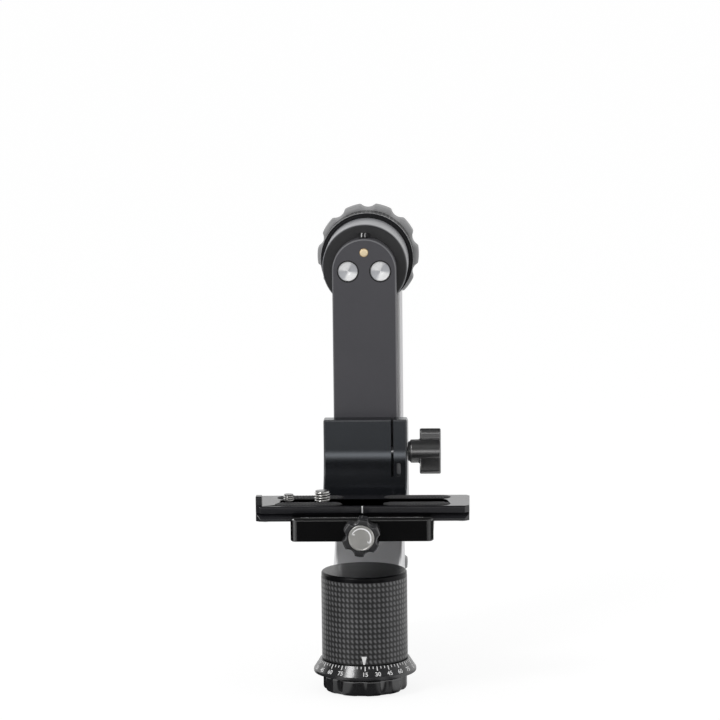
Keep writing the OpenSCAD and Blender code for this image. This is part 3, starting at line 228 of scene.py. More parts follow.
key_width, key_length, key_power = 0.30, 0.39, 3.9
key_reach, key_aim_h = 1.25, 120 * MM
key_turn, key_rise = math.radians(-45), math.radians(49)
lamp_data = bpy.data.lights.new("key_lamp", "AREA")
lamp_data.shape = "RECTANGLE"
lamp_data.size, lamp_data.size_y = key_width, key_length
lamp_data.energy = key_power
lamp = bpy.data.objects.new("key_lamp", lamp_data)
bpy.context.scene.collection.objects.link(lamp)
toward = Vector(
    (math.sin(key_turn) * math.cos(key_rise), -math.cos(key_turn) * math.cos(key_rise), math.sin(key_rise))
)
lamp.location = Vector((0, 0, key_aim_h)) + toward * key_reach
lamp.rotation_mode = "QUATERNION"
lamp.rotation_quaternion = (-toward).to_track_quat("-Z", "Y")

# The floor: white paper, laid out far behind the head. For the camera most of its
# light is its own, so the head's soft shadow stays on it but it runs into the backdrop.
# In metal it shows painted light: painted shade near the head, pale at the sides, and painted reflections of the
# soft boxes under them.
paper_reach, paper_sides, paper_drop = 14.0, 64, 0.05 * MM
paper_dull, paper_clean, fibre_scale = 0.78, 0.82, 900.0
paper_glow, paper_strength = 0.78, 1.10
painted_near_shade_in_metal, far_in_metal = 0.05, 0.28
near_reach, far_reach = 0.30, 0.80
side_in_metal, right_side, left_side = 0.95, (48, 66), (112, 130)
painted_left_box_reflection, painted_right_box_reflection, painted_box_reflection_share = 0.9, 0.6, 0.7

rim = [
    (paper_reach * math.cos(turn), paper_reach * math.sin(turn), -paper_drop)
    for turn in (math.tau * i / paper_sides for i in range(paper_sides))
]
paper_mesh = bpy.data.meshes.new("floor")
paper_mesh.from_pydata(rim, [], [list(range(paper_sides))])
floor = bpy.data.objects.new("floor", paper_mesh)
bpy.context.scene.collection.objects.link(floor)
paper_material = bpy.data.materials.new("paper")
paper = Shading(paper_material)
ray = paper.node("LightPath", out="Is Camera Ray")
in_metal = Wire(paper.tree, ray.socket.node.outputs["Is Glossy Ray"])
fibre = paper.node("TexNoise", None, {"Vector": paper.node("TexCoord", out="Object"), "Scale": fibre_scale})
across, along, rise = paper.split(paper.node("TexCoord", out="Object"))
# Painted shade on the floor near the head, as metal sees it, paler further out.
sheen = paper.mix(painted_near_shade_in_metal, far_in_metal, (0 - along).ease(near_reach, far_reach))
bearing = across.angle_from(0 - along) * math.degrees(1)
sheen = paper.mix(sheen, side_in_metal, bearing.ease(*right_side) + (0 - bearing).ease(*left_side))
# Painted reflections of the soft boxes on the floor, as metal sees it.
for place, light in ((left_box_place, painted_left_box_reflection), (right_box_place, painted_right_box_reflection)):
    middle, half_width = place[:2]
    sheen = paper.mix(sheen, light, bearing.within(half_width, middle) * painted_box_reflection_share)
sheet_colour = paper.mix(paper.mix(paper_dull, paper_clean, fibre), sheen, in_metal)
matt = paper.node("BsdfDiffuse", None, {"Color": sheet_colour})
glow = paper.node("Emission", None, {"Color": grey(1), "Strength": paper_strength})
blended = paper.node("MixShader", None, {0: ray * paper_glow, 1: matt, 2: glow})
paper.node("OutputMaterial", None, {"Surface": blended})
paper_mesh.materials.append(paper_material)


# The base: a turned aluminium core, hard anodised charcoal, that stands on the tripod by
# its flange and carries the lock ring's thread, the shoulder disc and the hollow spindle.
# A steel bush with the tripod thread is pressed into it from below.
class Finish(Shading):
    """The surface of one kind of piece: fixed values first, then what varies over it."""

    def __init__(self, name, **fixed):
        self.material = bpy.data.materials.new(name)
        super().__init__(self.material)
        self.place = self.node("TexCoord", out="Object")
        self.skin = self.tree.nodes.new("ShaderNodeBsdfPrincipled")
        self.node("OutputMaterial", None, {"Surface": Wire(self.tree, self.skin.outputs[0])})
        for socket, value in fixed.items():
            self.feed(socket.replace("_", " ").title().replace("Ior", "IOR"), value)

    def feed(self, socket, wire):
        plug(self.tree, self.skin.inputs[socket], wire)

    def grain(self, size_mm, detail=2.0, stretch=(1, 1, 1), rough=0.5):
        """Noise from 0 to 1 whose lumps are about size_mm across."""
        place = self.place
        if stretch != (1, 1, 1):
            place = self.node("VectorMath", {"operation": "MULTIPLY"}, {0: place, 1: stretch})
        sockets = {"Vector": place, "Scale": 1 / (size_mm * MM), "Detail": detail, "Roughness": rough}
        return self.node("TexNoise", None, sockets)

    def relief(self, height, depth_mm):
        """Raises the surface by up to depth_mm where height is 1."""
        bump = self.node("Bump", None, {"Height": height, "Distance": depth_mm * MM, "Strength": 1.0})
        self.feed("Normal", bump)

    def radius(self):
        """Distance from the piece's own turning axis, in mm."""
        x, y = self.split(self.place)[:2]
        return (x * x + y * y) ** 0.5 * (1 / MM)

    def height(self):
        """Height along that axis, in mm."""
        return self.split(self.place)[2] * (1 / MM)

    def tool_rings(self, per_mm, detail=2.0, along=0.0):
        """Noise in fine rings round the piece's own axis, as a lathe tool leaves them."""
        sockets = {"W": self.radius() + along, "Scale": per_mm, "Detail": detail}
        return self.node("TexNoise", {"noise_dimensions": "1D"}, sockets)


def coated(name, dark, light, gloss, grain_mm=0.25, ior=1.5):
    """Blasted and anodised or painted metal, a little cloudy and with a fine grain."""
    finish = Finish(name, ior=ior)
    cloud = finish.grain(14, detail=4.0)
    speck = finish.grain(grain_mm, detail=1.0)
    finish.feed("Base Color", finish.mix(dark, light, cloud * 0.6 + speck * 0.4))
    finish.feed("Roughness", gloss + (cloud - 0.5) * 0.10 + (speck - 0.5) * 0.14)
    finish.relief(speck, 0.012)
    return finish.material


def lathe_steel(name, colour, gloss, groove_mm=0.35, depth_mm=0.006, anisotropy=0.6):
    """Metal fresh off the lathe, with fine rings left by the tool round its axis."""
    finish = Finish(name, metallic=1.0, anisotropic=anisotropy)
    rings = finish.tool_rings(1 / groove_mm, detail=3.0)
    cloud = finish.grain(5, detail=3.0)
    finish.feed("Base Color", finish.mix([c * 0.82 for c in colour], colour, rings * 0.7 + cloud * 0.3))
    finish.feed("Roughness", gloss + (rings - 0.5) * 0.16)
    finish.relief(rings, depth_mm)
    return finish.material


def ground_steel(name, colour, gloss):
    """Plain bright metal with faint handling marks."""
    finish = Finish(name, metallic=1.0)
    streak = finish.grain(0.8, detail=3.0, stretch=(1, 1, 0.2))
    finish.feed("Base Color", finish.mix([c * 0.86 for c in colour], colour, streak))
    finish.feed("Roughness", gloss + (streak - 0.5) * 0.12)
    finish.relief(streak, 0.003)
    return finish.material


def dress(material, *names):
    """Gives carried over parts their finish."""
    for name in names:
        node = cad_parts[name]
        node.data.materials.clear()
        node.data.materials.append(material)


def as_mesh(name, work):
    """The mesh of a finished shell."""
    mesh = bpy.data.meshes.new(name)
    work.to_mesh(mesh)
    work.free()
    return mesh


def as_piece(name, mesh, material, sharp=32):
    """A new object from a mesh, smooth except at its real corners."""
    mesh.materials.clear()
    mesh.materials.append(material)
    mesh.shade_smooth()
    mesh.set_sharp_from_angle(angle=math.radians(sharp))
    piece = bpy.data.objects.new(name, mesh)
    bpy.context.scene.collection.objects.link(piece)
    return piece


def keep_flat(piece):
    """Shades the piece's flat faces as flat where they run into rounded ones."""
    piece.modifiers.new("flats", "WEIGHTED_NORMAL").keep_sharp = True
    return piece


def machined(node, name, edge_mm, material, corner=28, steps=2, pick=None):
    """A milled part on the node's own solid, with its sharp edges broken by edge_mm. With
    pick, only the edges for which pick(end, end) gives a share above 0, by that share."""
    work = bmesh.new()
    work.from_mesh(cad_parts[node].data)
    bmesh.ops.remove_doubles(work, verts=work.verts, dist=2e-6)
    bmesh.ops.dissolve_limit(work, angle_limit=math.radians(0.5), verts=work.verts, edges=work.edges)
    bmesh.ops.recalc_face_normals(work, faces=work.faces)
    if pick:
        weight = work.edges.layers.float.new("bevel_weight_edge")
        for edge in work.edges:
            if edge.calc_face_angle(0.0) > math.radians(corner):
                edge[weight] = pick(*(v.co / MM for v in edge.verts))
    piece = as_piece(name, as_mesh(name, work), material, corner)
    if not edge_mm:
        return keep_flat(piece)
    broken = piece.modifiers.new("broken_edges", "BEVEL")
    broken.width = edge_mm * MM
    broken.segments = steps
    broken.limit_method = "WEIGHT" if pick else "ANGLE"
    broken.angle_limit = math.radians(corner)
    broken.use_clamp_overlap = False
    broken.harden_normals = True
    return piece


charcoal_anodised = coated("charcoal_anodised", (0.040, 0.040, 0.043), (0.070, 0.070, 0.075), 0.42)
bright_steel = ground_steel("bright_steel", (0.62, 0.62, 0.64), 0.28)
pin_steel = ground_steel("pin_steel", (0.45, 0.45, 0.47), 0.36)
bearing_steel = ground_steel("bearing_steel", (0.70, 0.70, 0.72), 0.16)

core = machined("base_core", "base_core_turned", 0.4, charcoal_anodised)
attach(core, "base")
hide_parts("base_core")
dress(bright_steel, "thread_insert")
dress(pin_steel, "push_pins", "spindle_nut")
dress(bearing_steel, "pan_inner_races", "pan_balls")
dress(coated("brake_facing", (0.055, 0.05, 0.045), (0.10, 0.09, 0.08), 0.8, grain_mm=0.6), "brake_ring")

# The degree ring: a turned cone, black anodised and pressed on the shoulder disc. Its scale
# runs from 0 to 75 four times round, cut by laser, so the marks are white and flush.
def fillet(outline, closed, arc_step=math.radians(15)):
    """The outline of (radius, height, rounding) points with each rounding drawn as an arc."""
    points = [(Vector(p[:2]), p[2] if len(p) > 2 else 0.0) for p in outline]
    path = []
    for i, (corner, size) in enumerate(points):
        if not size or (not closed and i in (0, len(points) - 1)):
            path.append(corner)
            continue
        before = (points[i - 1][0] - corner).normalized()
        after = (points[(i + 1) % len(points)][0] - corner).normalized()
        half = before.angle(after) / 2
        middle = corner + (before + after).normalized() * (size / math.sin(half))
        start = corner + before * (size / math.tan(half)) - middle
        end = corner + after * (size / math.tan(half)) - middle
        sweep = start.angle_signed(end)
        turns = max(2, round(abs(sweep) / arc_step))
        for step in range(turns + 1):
            cos, sin = math.cos(-sweep * step / turns), math.sin(-sweep * step / turns)
            path.append(middle + Vector((start.x * cos - start.y * sin, start.x * sin + start.y * cos)))
    return path


def round_point(r, turn, height=0.0):
    """A point in mm at a radius, an angle and a height."""
    return Vector((r * math.cos(turn), r * math.sin(turn), height))


def angles(count, first=0.0):
    """As many angles as asked for, spread evenly round a circle."""
    return [math.tau * (i + first) / count for i in range(count)]


def shell(rings, closed=False):
    """A skin drawn over rings of points in mm, where a ring of one point is a tip."""
    work = bmesh.new()
    steps = max(len(ring) for ring in rings)
    hoops = []
    for ring in rings:
        made = [work.verts.new(p * MM) for p in ring]
        hoops.append(made if len(made) > 1 else made * steps)
    for low, high in zip(hoops, hoops[1:] + hoops[: 1 if closed else 0]):
        for i in range(steps):
            j = (i + 1) % steps
            corners = list(dict.fromkeys((low[i], low[j], high[j], high[i])))
            if len(corners) > 2:
                work.faces.new(corners)
    bmesh.ops.recalc_face_normals(work, faces=work.faces)
    return work


def placed(piece, at, facing):
    """Sets a piece made along Z at its place in mm, along Z or pointing back along Y."""
    piece.location = Vector(at) * MM
    piece.rotation_euler = {"Z": (0, 0, 0), "Y": (-math.pi / 2, 0, 0)}[facing]
    return keep_flat(piece)


def turned(name, outline, at, facing, material, steps=144, sharp=32):
    """A lathe piece: outline points are (radius, height, rounding) in mm, spun on its own Z."""
    closed = outline[0][0] > 0 or outline[-1][0] > 0
    path = fillet(outline, closed)
    rings = [[round_point(r, a, h) for a in angles(steps if r > 0 else 1)] for r, h in path]
    return placed(as_piece(name, as_mesh(name, shell(rings, closed)), material, sharp), at, facing)


def box_mm(node):
    """A node's lowest and highest corner in mm."""
    low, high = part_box(node)
    return low / MM, high / MM


ring_low, ring_high = box_mm("degree_ring")
ring_foot_r = ring_high.x
ring_rim_h, ring_slope_w, ring_bore_r = 1.8, 4.0, 24.4
ring_top_r = ring_foot_r - ring_slope_w
ring_h = ring_high.z - ring_low.z
slope_h = ring_h - ring_rim_h
slope_len = math.hypot(ring_slope_w, slope_h)
mark_lift = 0.03

ring_black = Finish("ring_anodised", ior=1.8)
cloud = ring_black.grain(9, detail=4.0)
tool_rings = ring_black.tool_rings(3.0)
ring_black.feed("Base Color", ring_black.mix((0.014, 0.014, 0.015), (0.030, 0.030, 0.032), cloud))
ring_black.feed("Roughness", 0.21 + (tool_rings - 0.5) * 0.12 + (cloud - 0.5) * 0.06)
ring_black.relief(tool_rings, 0.008)

degree_ring = turned(
    "degree_ring_cone",
    [
        (ring_bore_r, 0, 0.2),
        (ring_foot_r, 0, 0.5),
        (ring_foot_r, ring_rim_h, 0.35),
        (ring_top_r, ring_h, 0.3),
        (ring_bore_r, ring_h, 0.15),
    ],
    (0, 0, ring_low.z),
    "Z",
    ring_black.material,
    steps=240,
)
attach(degree_ring, "base")
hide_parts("degree_ring")


def white_ink(name, shade):
    """Laser marking or filled engraving: matt, with a slightly broken edge tone."""
    finish = Finish(name)
    patch = finish.grain(0.35, detail=3.0)
    finish.feed("Base Color", finish.mix([shade * 0.86] * 3, [shade] * 3, patch))
    finish.feed("Roughness", 0.62 + (patch - 0.5) * 0.2)
    finish.relief(patch, 0.004)
    return finish.material


def on_cone(across, down):
    """A point on the ring's slope: across is an angle, down runs from the top edge in mm."""
    share = down / slope_len
    r = ring_top_r + ring_slope_w * share + mark_lift * slope_h / slope_len
    return round_point(r, across, ring_h - slope_h * share + mark_lift * ring_slope_w / slope_len)


def drawn(name, points, faces, material, sharp=32):
    """A piece straight from its faces and its points in mm."""
    mesh = bpy.data.meshes.new(name)
    mesh.from_pydata([Vector(p) * MM for p in points], [], faces)
    return as_piece(name, mesh, material, sharp)


def written(text, height_mm):
    """A word as flat outlines: its points in mm, centred, and its faces."""
    face = bpy.data.curves.new("lettering", "FONT")
    face.body = text
    face.size = height_mm / capital_share
    face.align_x, face.align_y = "CENTER", "CENTER"
    face.offset = stroke_gain * height_mm
    face.resolution_u = 4
    holder = bpy.data.objects.new("lettering", face)
    bpy.context.scene.collection.objects.link(holder)
    bpy.context.view_layer.update()
    flat = bpy.data.meshes.new_from_object(holder.evaluated_get(bpy.context.evaluated_depsgraph_get()))
    points = [v.co.copy() for v in flat.vertices]
    faces = [list(p.vertices) for p in flat.polygons]
    bpy.data.objects.remove(holder)
    bpy.data.curves.remove(face)
    bpy.data.meshes.remove(flat)
    return points, faces


scale_zero = math.radians(-90 - 13)
tick_step, long_every, label_every, scale_repeat = 5, 3, 15, 90
tick_top, short_tick, long_tick = 0.25, 1.75, 3.0
tick_w, long_tick_w = 0.50, 0.62
label_down, label_h = 5.35, 2.55
capital_share, stroke_gain = 0.70, 0.03

points, faces = [], []
for k in range(360 // tick_step):
    turn = scale_zero + math.radians(k * tick_step)
    long = k % long_every == 0
    half = (long_tick_w if long else tick_w) / ring_top_r / 2
    end = long_tick if long else short_tick
    start = len(points)
    points += [on_cone(turn + side * half, down) for down in (tick_top, end) for side in (-1, 1)]
    faces.append([start, start + 2, start + 3, start + 1])
for k in range(360 // label_every):
    turn = scale_zero + math.radians(k * label_every)
    flat, loops = written(str(k * label_every % scale_repeat), label_h)
    start = len(points)
    label_r = ring_top_r + ring_slope_w * label_down / slope_len
    points += [on_cone(turn + p.x / label_r, label_down - p.y) for p in flat]
    faces += [[start + i for i in loop] for loop in loops]
degree_marks = drawn("degree_marks", points, faces, white_ink("scale_white", 0.80))
degree_marks.location = (0, 0, ring_low.z * MM)
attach(degree_marks, "base")

# The pan lock: a threaded aluminium ring under the shoulder disc, with a moulded rubber
# grip bonded round it. The grip has ten broad lobes and is turned by hand from any side.
def rim_radius(a, outer, lobes, valley, scoop, soften):
    """The lobed outline's radius at an angle, with the cusps between lobe and scoop eased."""
    step = math.tau / lobes
    off = (a % step) - step / 2
    middle = outer - valley + scoop
    reach = scoop**2 - (middle * math.sin(off)) ** 2
    if reach <= 0:
        return outer
    near = middle * math.cos(off) - math.sqrt(reach)
    low, gap = min(outer, near), abs(outer - near)
    return low - soften * math.log1p(math.exp(-gap / soften))


def lobed_grip(name, rows, lobe_shape, at, facing, material, turn=0.0, per_lobe=36):
    """A hand grip: rows are (kind, size, height) in mm, where "rim" rows follow the lobes,
    set in by size, and "core" rows are round, with size as their radius."""
    around = angles(lobe_shape["lobes"] * per_lobe)
    outline = [rim_radius(a, **lobe_shape) for a in around]
    rings = []
    for kind, size, height in rows:
        radii = [edge - size if kind == "rim" else size for edge in outline]
        rings.append([round_point(r, a + turn, height) for r, a in zip(radii, around)])
    return placed(as_piece(name, as_mesh(name, shell(rings, closed=True)), material, 40), at, facing)


def rounded_rows(edge, height, steps=5):
    """The rim rows of a grip from its lower rounded edge to its upper one."""
    arc = [math.pi / 2 * i / steps for i in range(steps + 1)]
    lower = [("rim", edge * (1 - math.sin(a)), edge * (1 - math.cos(a))) for a in arc]
    upper = [("rim", inset, height - rise) for kind, inset, rise in reversed(lower)]
    return [*lower, ("rim", 0.0, height / 2), *upper]


def moulded_rubber(name, dark, light, gloss, grain_mm=0.5, depth_mm=0.02, sheen=0.0, ior=1.5):
    """Moulded rubber: a leathery mould texture and a few paler scuffs."""
    finish = Finish(name, sheen_weight=sheen, ior=ior)
    cells = finish.node("TexVoronoi", None, {"Vector": finish.place, "Scale": 1 / (grain_mm * MM)})
    cloud = finish.grain(6, detail=4.0)
    scuff = finish.grain(2.2, detail=5.0, rough=0.7).ease(0.60, 0.78)
    scuffed = finish.mix(finish.mix(dark, light, cloud), [c * 1.35 for c in light], scuff * 0.35)
    finish.feed("Base Color", scuffed)
    finish.feed("Roughness", gloss + (cloud - 0.5) * 0.12 + scuff * 0.10)
    finish.relief(cells + cloud * 0.5, depth_mm)
    return finish.material


grip_low, grip_high = box_mm("lock_ring_grip")
lock_outer_r, lock_inner_r = grip_high.x, 22.35
lock_h = grip_high.z - grip_low.z
lock_rubber = moulded_rubber(
    "lock_rubber", (0.012, 0.012, 0.013), (0.022, 0.022, 0.024), 0.16, depth_mm=0.006, ior=1.9
)
lock_grip = lobed_grip(
    "lock_ring_rubber",
    [("core", lock_inner_r, 0.0), *rounded_rows(2.3, lock_h), ("core", lock_inner_r, lock_h)],
    {"outer": lock_outer_r, "lobes": 10, "valley": 1.5, "scoop": 6.0, "soften": 0.22},
    (0, 0, grip_low.z),
    "Z",
    lock_rubber,
    turn=math.radians(-4),
)
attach(lock_grip, "pan_lock")
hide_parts("lock_ring_grip")
dress(charcoal_anodised, "lock_ring")

# The pan housing: an aluminium tube that turns on two ball bearings. A woven carbon
# sleeve under clear lacquer is bonded round it, and a white arrow on the sleeve reads the scale.
sleeve_low, sleeve_high = box_mm("carbon_sleeve")
sleeve_r = sleeve_high.x
tow_columns, tow_row, tow_lean = 59, 3.1, 0.42
weave_tones = ((0.0, 0.020), (0.35, (0.045, 0.045, 0.047)), (1.0, (0.19, 0.19, 0.195)))
lacquer = Finish(
    "woven_carbon", specular_ior_level=0.3, coat_weight=0.25, coat_roughness=0.15, coat_ior=1.5
)
x, y = lacquer.split(lacquer.place)[:2]
column = y.angle_from(x) * (tow_columns / math.tau)
row = lacquer.height() / tow_row
centred = row + 0.5
tilted = column + centred.reckon("FRACT", centred) * tow_lean
warp = tilted.hump().ease(0.40, 1.0) * row.hump().ease(0.15, 0.85)
weft = (column + 0.5).hump().ease(0.35, 1.0) * centred.hump().ease(0.2, 0.9)
thread = lacquer.grain(0.28, detail=2.0, stretch=(1, 1, 0.15))
cloud = lacquer.grain(11, detail=2.0)
tone = warp * 0.62 - weft * 0.22 + 0.14 + (thread - 0.5) * 0.25 + (cloud - 0.5) * 0.30
lacquer.feed("Base Color", lacquer.node("ValToRGB", {"stops": weave_tones}, {0: tone}))
lacquer.feed("Roughness", 0.46 - warp * 0.12 + (thread - 0.5) * 0.1)
lacquer.relief(warp * 0.9 + thread * 0.1, 0.03)
sleeve = machined("carbon_sleeve", "carbon_sleeve_woven", 0.22, lacquer.material)
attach(sleeve, "pan")
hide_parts("carbon_sleeve")
dress(charcoal_anodised, "pan_housing")
dress(bearing_steel, "pan_outer_races")

arrow_turn, arrow_r = math.radians(-89.2), sleeve_r + 0.04
arrow_foot, arrow_top, arrow_tip_w, arrow_w = 0.45, 5.35, 0.9, 3.2
strips, rungs = 8, 6
points, faces = [], []
for i in range(rungs + 1):
    share = i / rungs
    half = (arrow_tip_w + (arrow_w - arrow_tip_w) * share) / 2
    height = arrow_foot + (arrow_top - arrow_foot) * share
    for j in range(strips + 1):
        points.append(round_point(arrow_r, arrow_turn + (2 * j / strips - 1) * half / arrow_r, height))
for i in range(rungs):
    for j in range(strips):
        k = i * (strips + 1) + j
        faces.append([k, k + 1, k + strips + 2, k + strips + 1])
arrow = drawn("index_arrow", points, faces, white_ink("arrow_white", 0.88))
arrow.location = (0, 0, sleeve_low.z * MM)
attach(arrow, "pan")

# The base cap: a turned aluminium lid pressed into the top of the housing, black and
# polished, with a rounded rim and a flat, plain top.
cap_low, cap_high = box_mm("base_cap")
cap_r = cap_high.x
cap_spigot_r, cap_spigot_h = 19.0, 4.0
cap_top_h = cap_high.z - cap_low.z
cap_black = Finish("cap_lacquer", specular_ior_level=0.13)
orange_peel = cap_black.grain(1.6, detail=2.0)
dust = cap_black.grain(0.5, detail=2.0).ease(0.66, 0.8)
cap_black.feed("Base Color", cap_black.mix((0.003, 0.003, 0.0035), (0.007, 0.007, 0.008), orange_peel))
cap_black.feed("Roughness", 0.22 + dust * 0.2 + (orange_peel - 0.5) * 0.06)
cap_black.relief(orange_peel, 0.006)
cap = turned(
    "base_cap_lid",
    [
        (0, 0),
        (cap_spigot_r, 0, 0.3),
        (cap_spigot_r, cap_spigot_h),
        (cap_r, cap_spigot_h, 0.15),
        (cap_r, cap_top_h, 1.3),
        (0, cap_top_h),
    ],
    (0, 0, cap_low.z),
    "Z",
    cap_black.material,
    steps=192,
)
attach(cap, "pan")
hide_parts("base_cap")

# The upright: one aluminium casting, milled where things fasten to it and painted in metallic
# grey. Its foot wraps the housing, sweeps back and up into the column, and ends in a
# round head that carries the tilt stub. Screws and the brake shoe are inside the foot.
upright_paint = Finish("upright_paint", metallic=0.85)
pebble = upright_paint.grain(0.7, detail=2.0, rough=0.45)
cloud = upright_paint.grain(30, detail=3.0)
mottle = cloud * 0.5 + pebble * 0.5
upright_paint.feed("Base Color", upright_paint.mix((0.64, 0.64, 0.645), (0.76, 0.76, 0.77), mottle))
upright_paint.feed("Roughness", 0.33 + (pebble - 0.5) * 0.12 + (cloud - 0.5) * 0.06)
upright_paint.relief(pebble, 0.015)
up_high = box_mm("upright")[1]
drum_low, drum_high = box_mm("tilt_drum")
axis_h = (drum_low.z + drum_high.z) / 2
sweep_foot_h, sweep_top_h, foot_half_w, round_edge = 62.4, 107.6, 21.5, 2.5
sweep_back_y, rear_share, front_share = 115, 0.36, 0.14
head_front_y, head_r, head_step_r = 113.2, up_high.x, up_high.x - 1.6


def cast_edge(*ends):
    """The upright's rounded edges: along the sweep and the foot's top, and round the head."""
    on_flank = [abs(abs(p.x) - foot_half_w) < 0.05 and sweep_foot_h < p.z < sweep_top_h for p in ends]
    if all(on_flank) and max(p.y for p in ends) < sweep_back_y:
        return 1.0 if ends[0].x * ends[1].x > 0 else 0.0
    for y, r, share in ((up_high.y, head_r, rear_share), (head_front_y, head_step_r, front_share)):
        if all(abs(p.y - y) < 0.02 and abs(math.hypot(p.x, p.z - axis_h) - r) < 0.08 for p in ends):
            return share
    return 0.0


upright = machined(
    "upright", "upright_casting", round_edge, upright_paint.material, corner=32, steps=4, pick=cast_edge
)
keep_flat(upright)
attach(upright, "pan")
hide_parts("upright")
dress(pin_steel, "foot_screws", "stub_screws", "drag_rod")
dress(ground_steel("shoe_brass", (0.72, 0.55, 0.28), 0.38), "brake_shoe")
dress(bright_steel, "tilt_stub", "thrust_washer", "spring_washers")
dress(bearing_steel, "tilt_inner_races", "tilt_balls", "tilt_outer_races")

# The friction ring: a thin fibre washer in the groove between the drum and the upright's
# head. It is punched from sheet and held by the stub.
ring_fibre = coated("ring_fibre", (0.012, 0.011, 0.010), (0.030, 0.028, 0.026), 0.85, grain_mm=0.4)
dress(ring_fibre, "friction_ring")

# The head's ring: the turned face and side of the upright's round head, dark anodised,
# with fine bright grooves left by the lathe tool, which show behind the drum.
head_step_h, head_side_h = 1.4, 17.0
groove_count, groove_pitch, groove_depth, groove_half_w, first_groove = 6, 2.3, 0.22, 0.28, 1.9
face_pitch = 0.78
side_r = head_r + 0.03
face_dark = Finish("turned_charcoal", anisotropic=0.5)
tool_rings = face_dark.tool_rings(1.6)
cut = 1 - (face_dark.radius() / face_pitch).fold(2.0).ease(0.0, 0.35)
shade = tool_rings * 0.2 + face_dark.grain(12, detail=3.0) * 0.1 + cut * 0.8
face_dark.feed("Base Color", face_dark.mix((0.018, 0.018, 0.020), (0.105, 0.105, 0.110), shade))
face_dark.feed("Roughness", 0.36 + (tool_rings - 0.5) * 0.2)
face_dark.relief(tool_rings * 0.4 + cut, 0.04)
head_skin = Finish("head_anodised", specular_ior_level=0.12)
fine = head_skin.tool_rings(2.2, along=head_skin.height())
mottle = fine * 0.6 + head_skin.grain(12, detail=3.0) * 0.4
black = head_skin.mix((0.012, 0.012, 0.013), (0.022, 0.022, 0.024), mottle)
above_groove = 1 - head_skin.radius().ease(head_r - groove_depth * 0.7, head_r - groove_depth * 0.2)
in_groove = above_groove * head_skin.radius().ease(head_r - groove_depth - 0.1, head_r - groove_depth)
head_skin.feed("Base Color", head_skin.mix(black, (0.30, 0.30, 0.31), in_groove))
head_skin.feed("Roughness", 0.42 + (fine - 0.5) * 0.16)
head_skin.relief(fine, 0.008)
side_grooves = []
for k in range(groove_count):
    at_h = head_step_h + first_groove + k * groove_pitch
    for r, h in ((side_r, -groove_half_w), (side_r - groove_depth, 0), (side_r, groove_half_w)):
        side_grooves.append((r, at_h + h))
head_face = turned(
    "head_face_ring",
    [
        (head_step_r - 6, -0.05),
        (head_step_r, -0.05, 0.2),
        (head_step_r + 0.04, head_step_h - 0.05, 0.1),
        (side_r, head_step_h - 0.05, 0.35),
        *side_grooves,
        (side_r, head_side_h, 0.2),
        (side_r - 0.5, head_side_h),
        (side_r - 0.5, head_step_h + 0.3),
        (head_step_r - 6, head_step_h + 0.3),
    ],
    (0, head_front_y, axis_h),
    "Y",
    head_skin.material,
    steps=192,
    sharp=25,
)
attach(head_face, "pan")

# The drag knob: an aluminium hub screwed on the drag rod behind the foot, with a rubber
# grip of ten broad lobes bonded on. It sets the pan drag.
soft_grey = moulded_rubber("washed_rubber", (0.26, 0.26, 0.265), (0.335, 0.335, 0.34), 0.56, sheen=0.08)
hub_low, hub_high = box_mm("drag_knob_hub")
drag_low, drag_high = box_mm("drag_knob_grip")
drag_axis_h = (hub_low.z + hub_high.z) / 2
drag_outer_r, drag_hub_r, drag_neck_r, drag_rod_r = 23.0, 18.0, 8.0, 4.0
rod_end_y = 129.8
drag_h = drag_high.y - drag_low.y
hub_face = hub_high.y - hub_low.y
neck_start = rod_end_y - hub_low.y
grip_start = drag_low.y - hub_low.y
drag_hub = turned(
    "drag_knob_core",
    [
        (0, 0),
        (drag_rod_r, 0, 0.4),
        (drag_rod_r, neck_start),
        (drag_neck_r, neck_start, 0.3),
        (drag_neck_r, grip_start),
        (drag_hub_r, grip_start, 0.3),
        (drag_hub_r, hub_face - 0.9, 0.5),
        (drag_hub_r - 1.6, hub_face, 0.8),
        (drag_hub_r - 5.2, hub_face, 0.4),
        (drag_hub_r - 5.8, hub_face - 0.7, 0.4),
        (8.2, hub_face - 0.7, 0.4),
        (7.6, hub_face, 0.4),
        (3.2, hub_face, 0.2),
        (2.6, hub_face - 2.4),
        (0, hub_face - 2.4),
    ],
    (0, hub_low.y, drag_axis_h),
    "Y",
    face_dark.material,
)
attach(drag_hub, "drag_knob")
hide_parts("drag_knob_hub")
drag_grip = lobed_grip(
    "drag_knob_rubber",
    [("core", drag_hub_r, 0.0), *rounded_rows(2.4, drag_h), ("core", drag_hub_r, drag_h)],
    {"outer": drag_outer_r, "lobes": 10, "valley": 2.3, "scoop": 6.0, "soften": 0.25},
    (0, drag_low.y, drag_axis_h),
    "Y",
    soft_grey,
)
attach(drag_grip, "drag_knob")
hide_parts("drag_knob_grip")

# The tilt drum: a turned aluminium cup over two bearings on the stub, hard anodised
# dark grey. The tilt axle is screwed into its floor and takes the tilt knob at the back.
drum_r, drum_bore_r, drum_floor, journal_r = 26.1, 21.0, 8.2, 5.5
drum_len = drum_high.y - drum_low.y
drum_skin = Finish("drum_anodised", anisotropic=0.55)
tool_rings = drum_skin.tool_rings(2.6, detail=3.0)
lines = drum_skin.grain(0.35, detail=2.0, stretch=(0.05, 0.05, 1))
cloud = drum_skin.grain(10, detail=3.0)
mottle = cloud * 0.5 + tool_rings * 0.5
front_tone = drum_skin.mix((0.016, 0.016, 0.017), (0.030, 0.030, 0.032), mottle)
# The drum's round side is painted far lighter than its face: a painted highlight.
painted_side_highlight_tone = drum_skin.mix((0.19, 0.193, 0.204), (0.26, 0.264, 0.277), mottle)
painted_side_highlight_mask = drum_skin.radius().ease(drum_r - 0.7, drum_r - 0.2)
drum_skin.feed("Base Color", drum_skin.mix(front_tone, painted_side_highlight_tone, painted_side_highlight_mask))
drum_skin.feed("Roughness", 0.34 + (tool_rings - 0.5) * 0.14 + (lines - 0.5) * 0.1)
drum_skin.relief(tool_rings + lines * 0.5, 0.01)
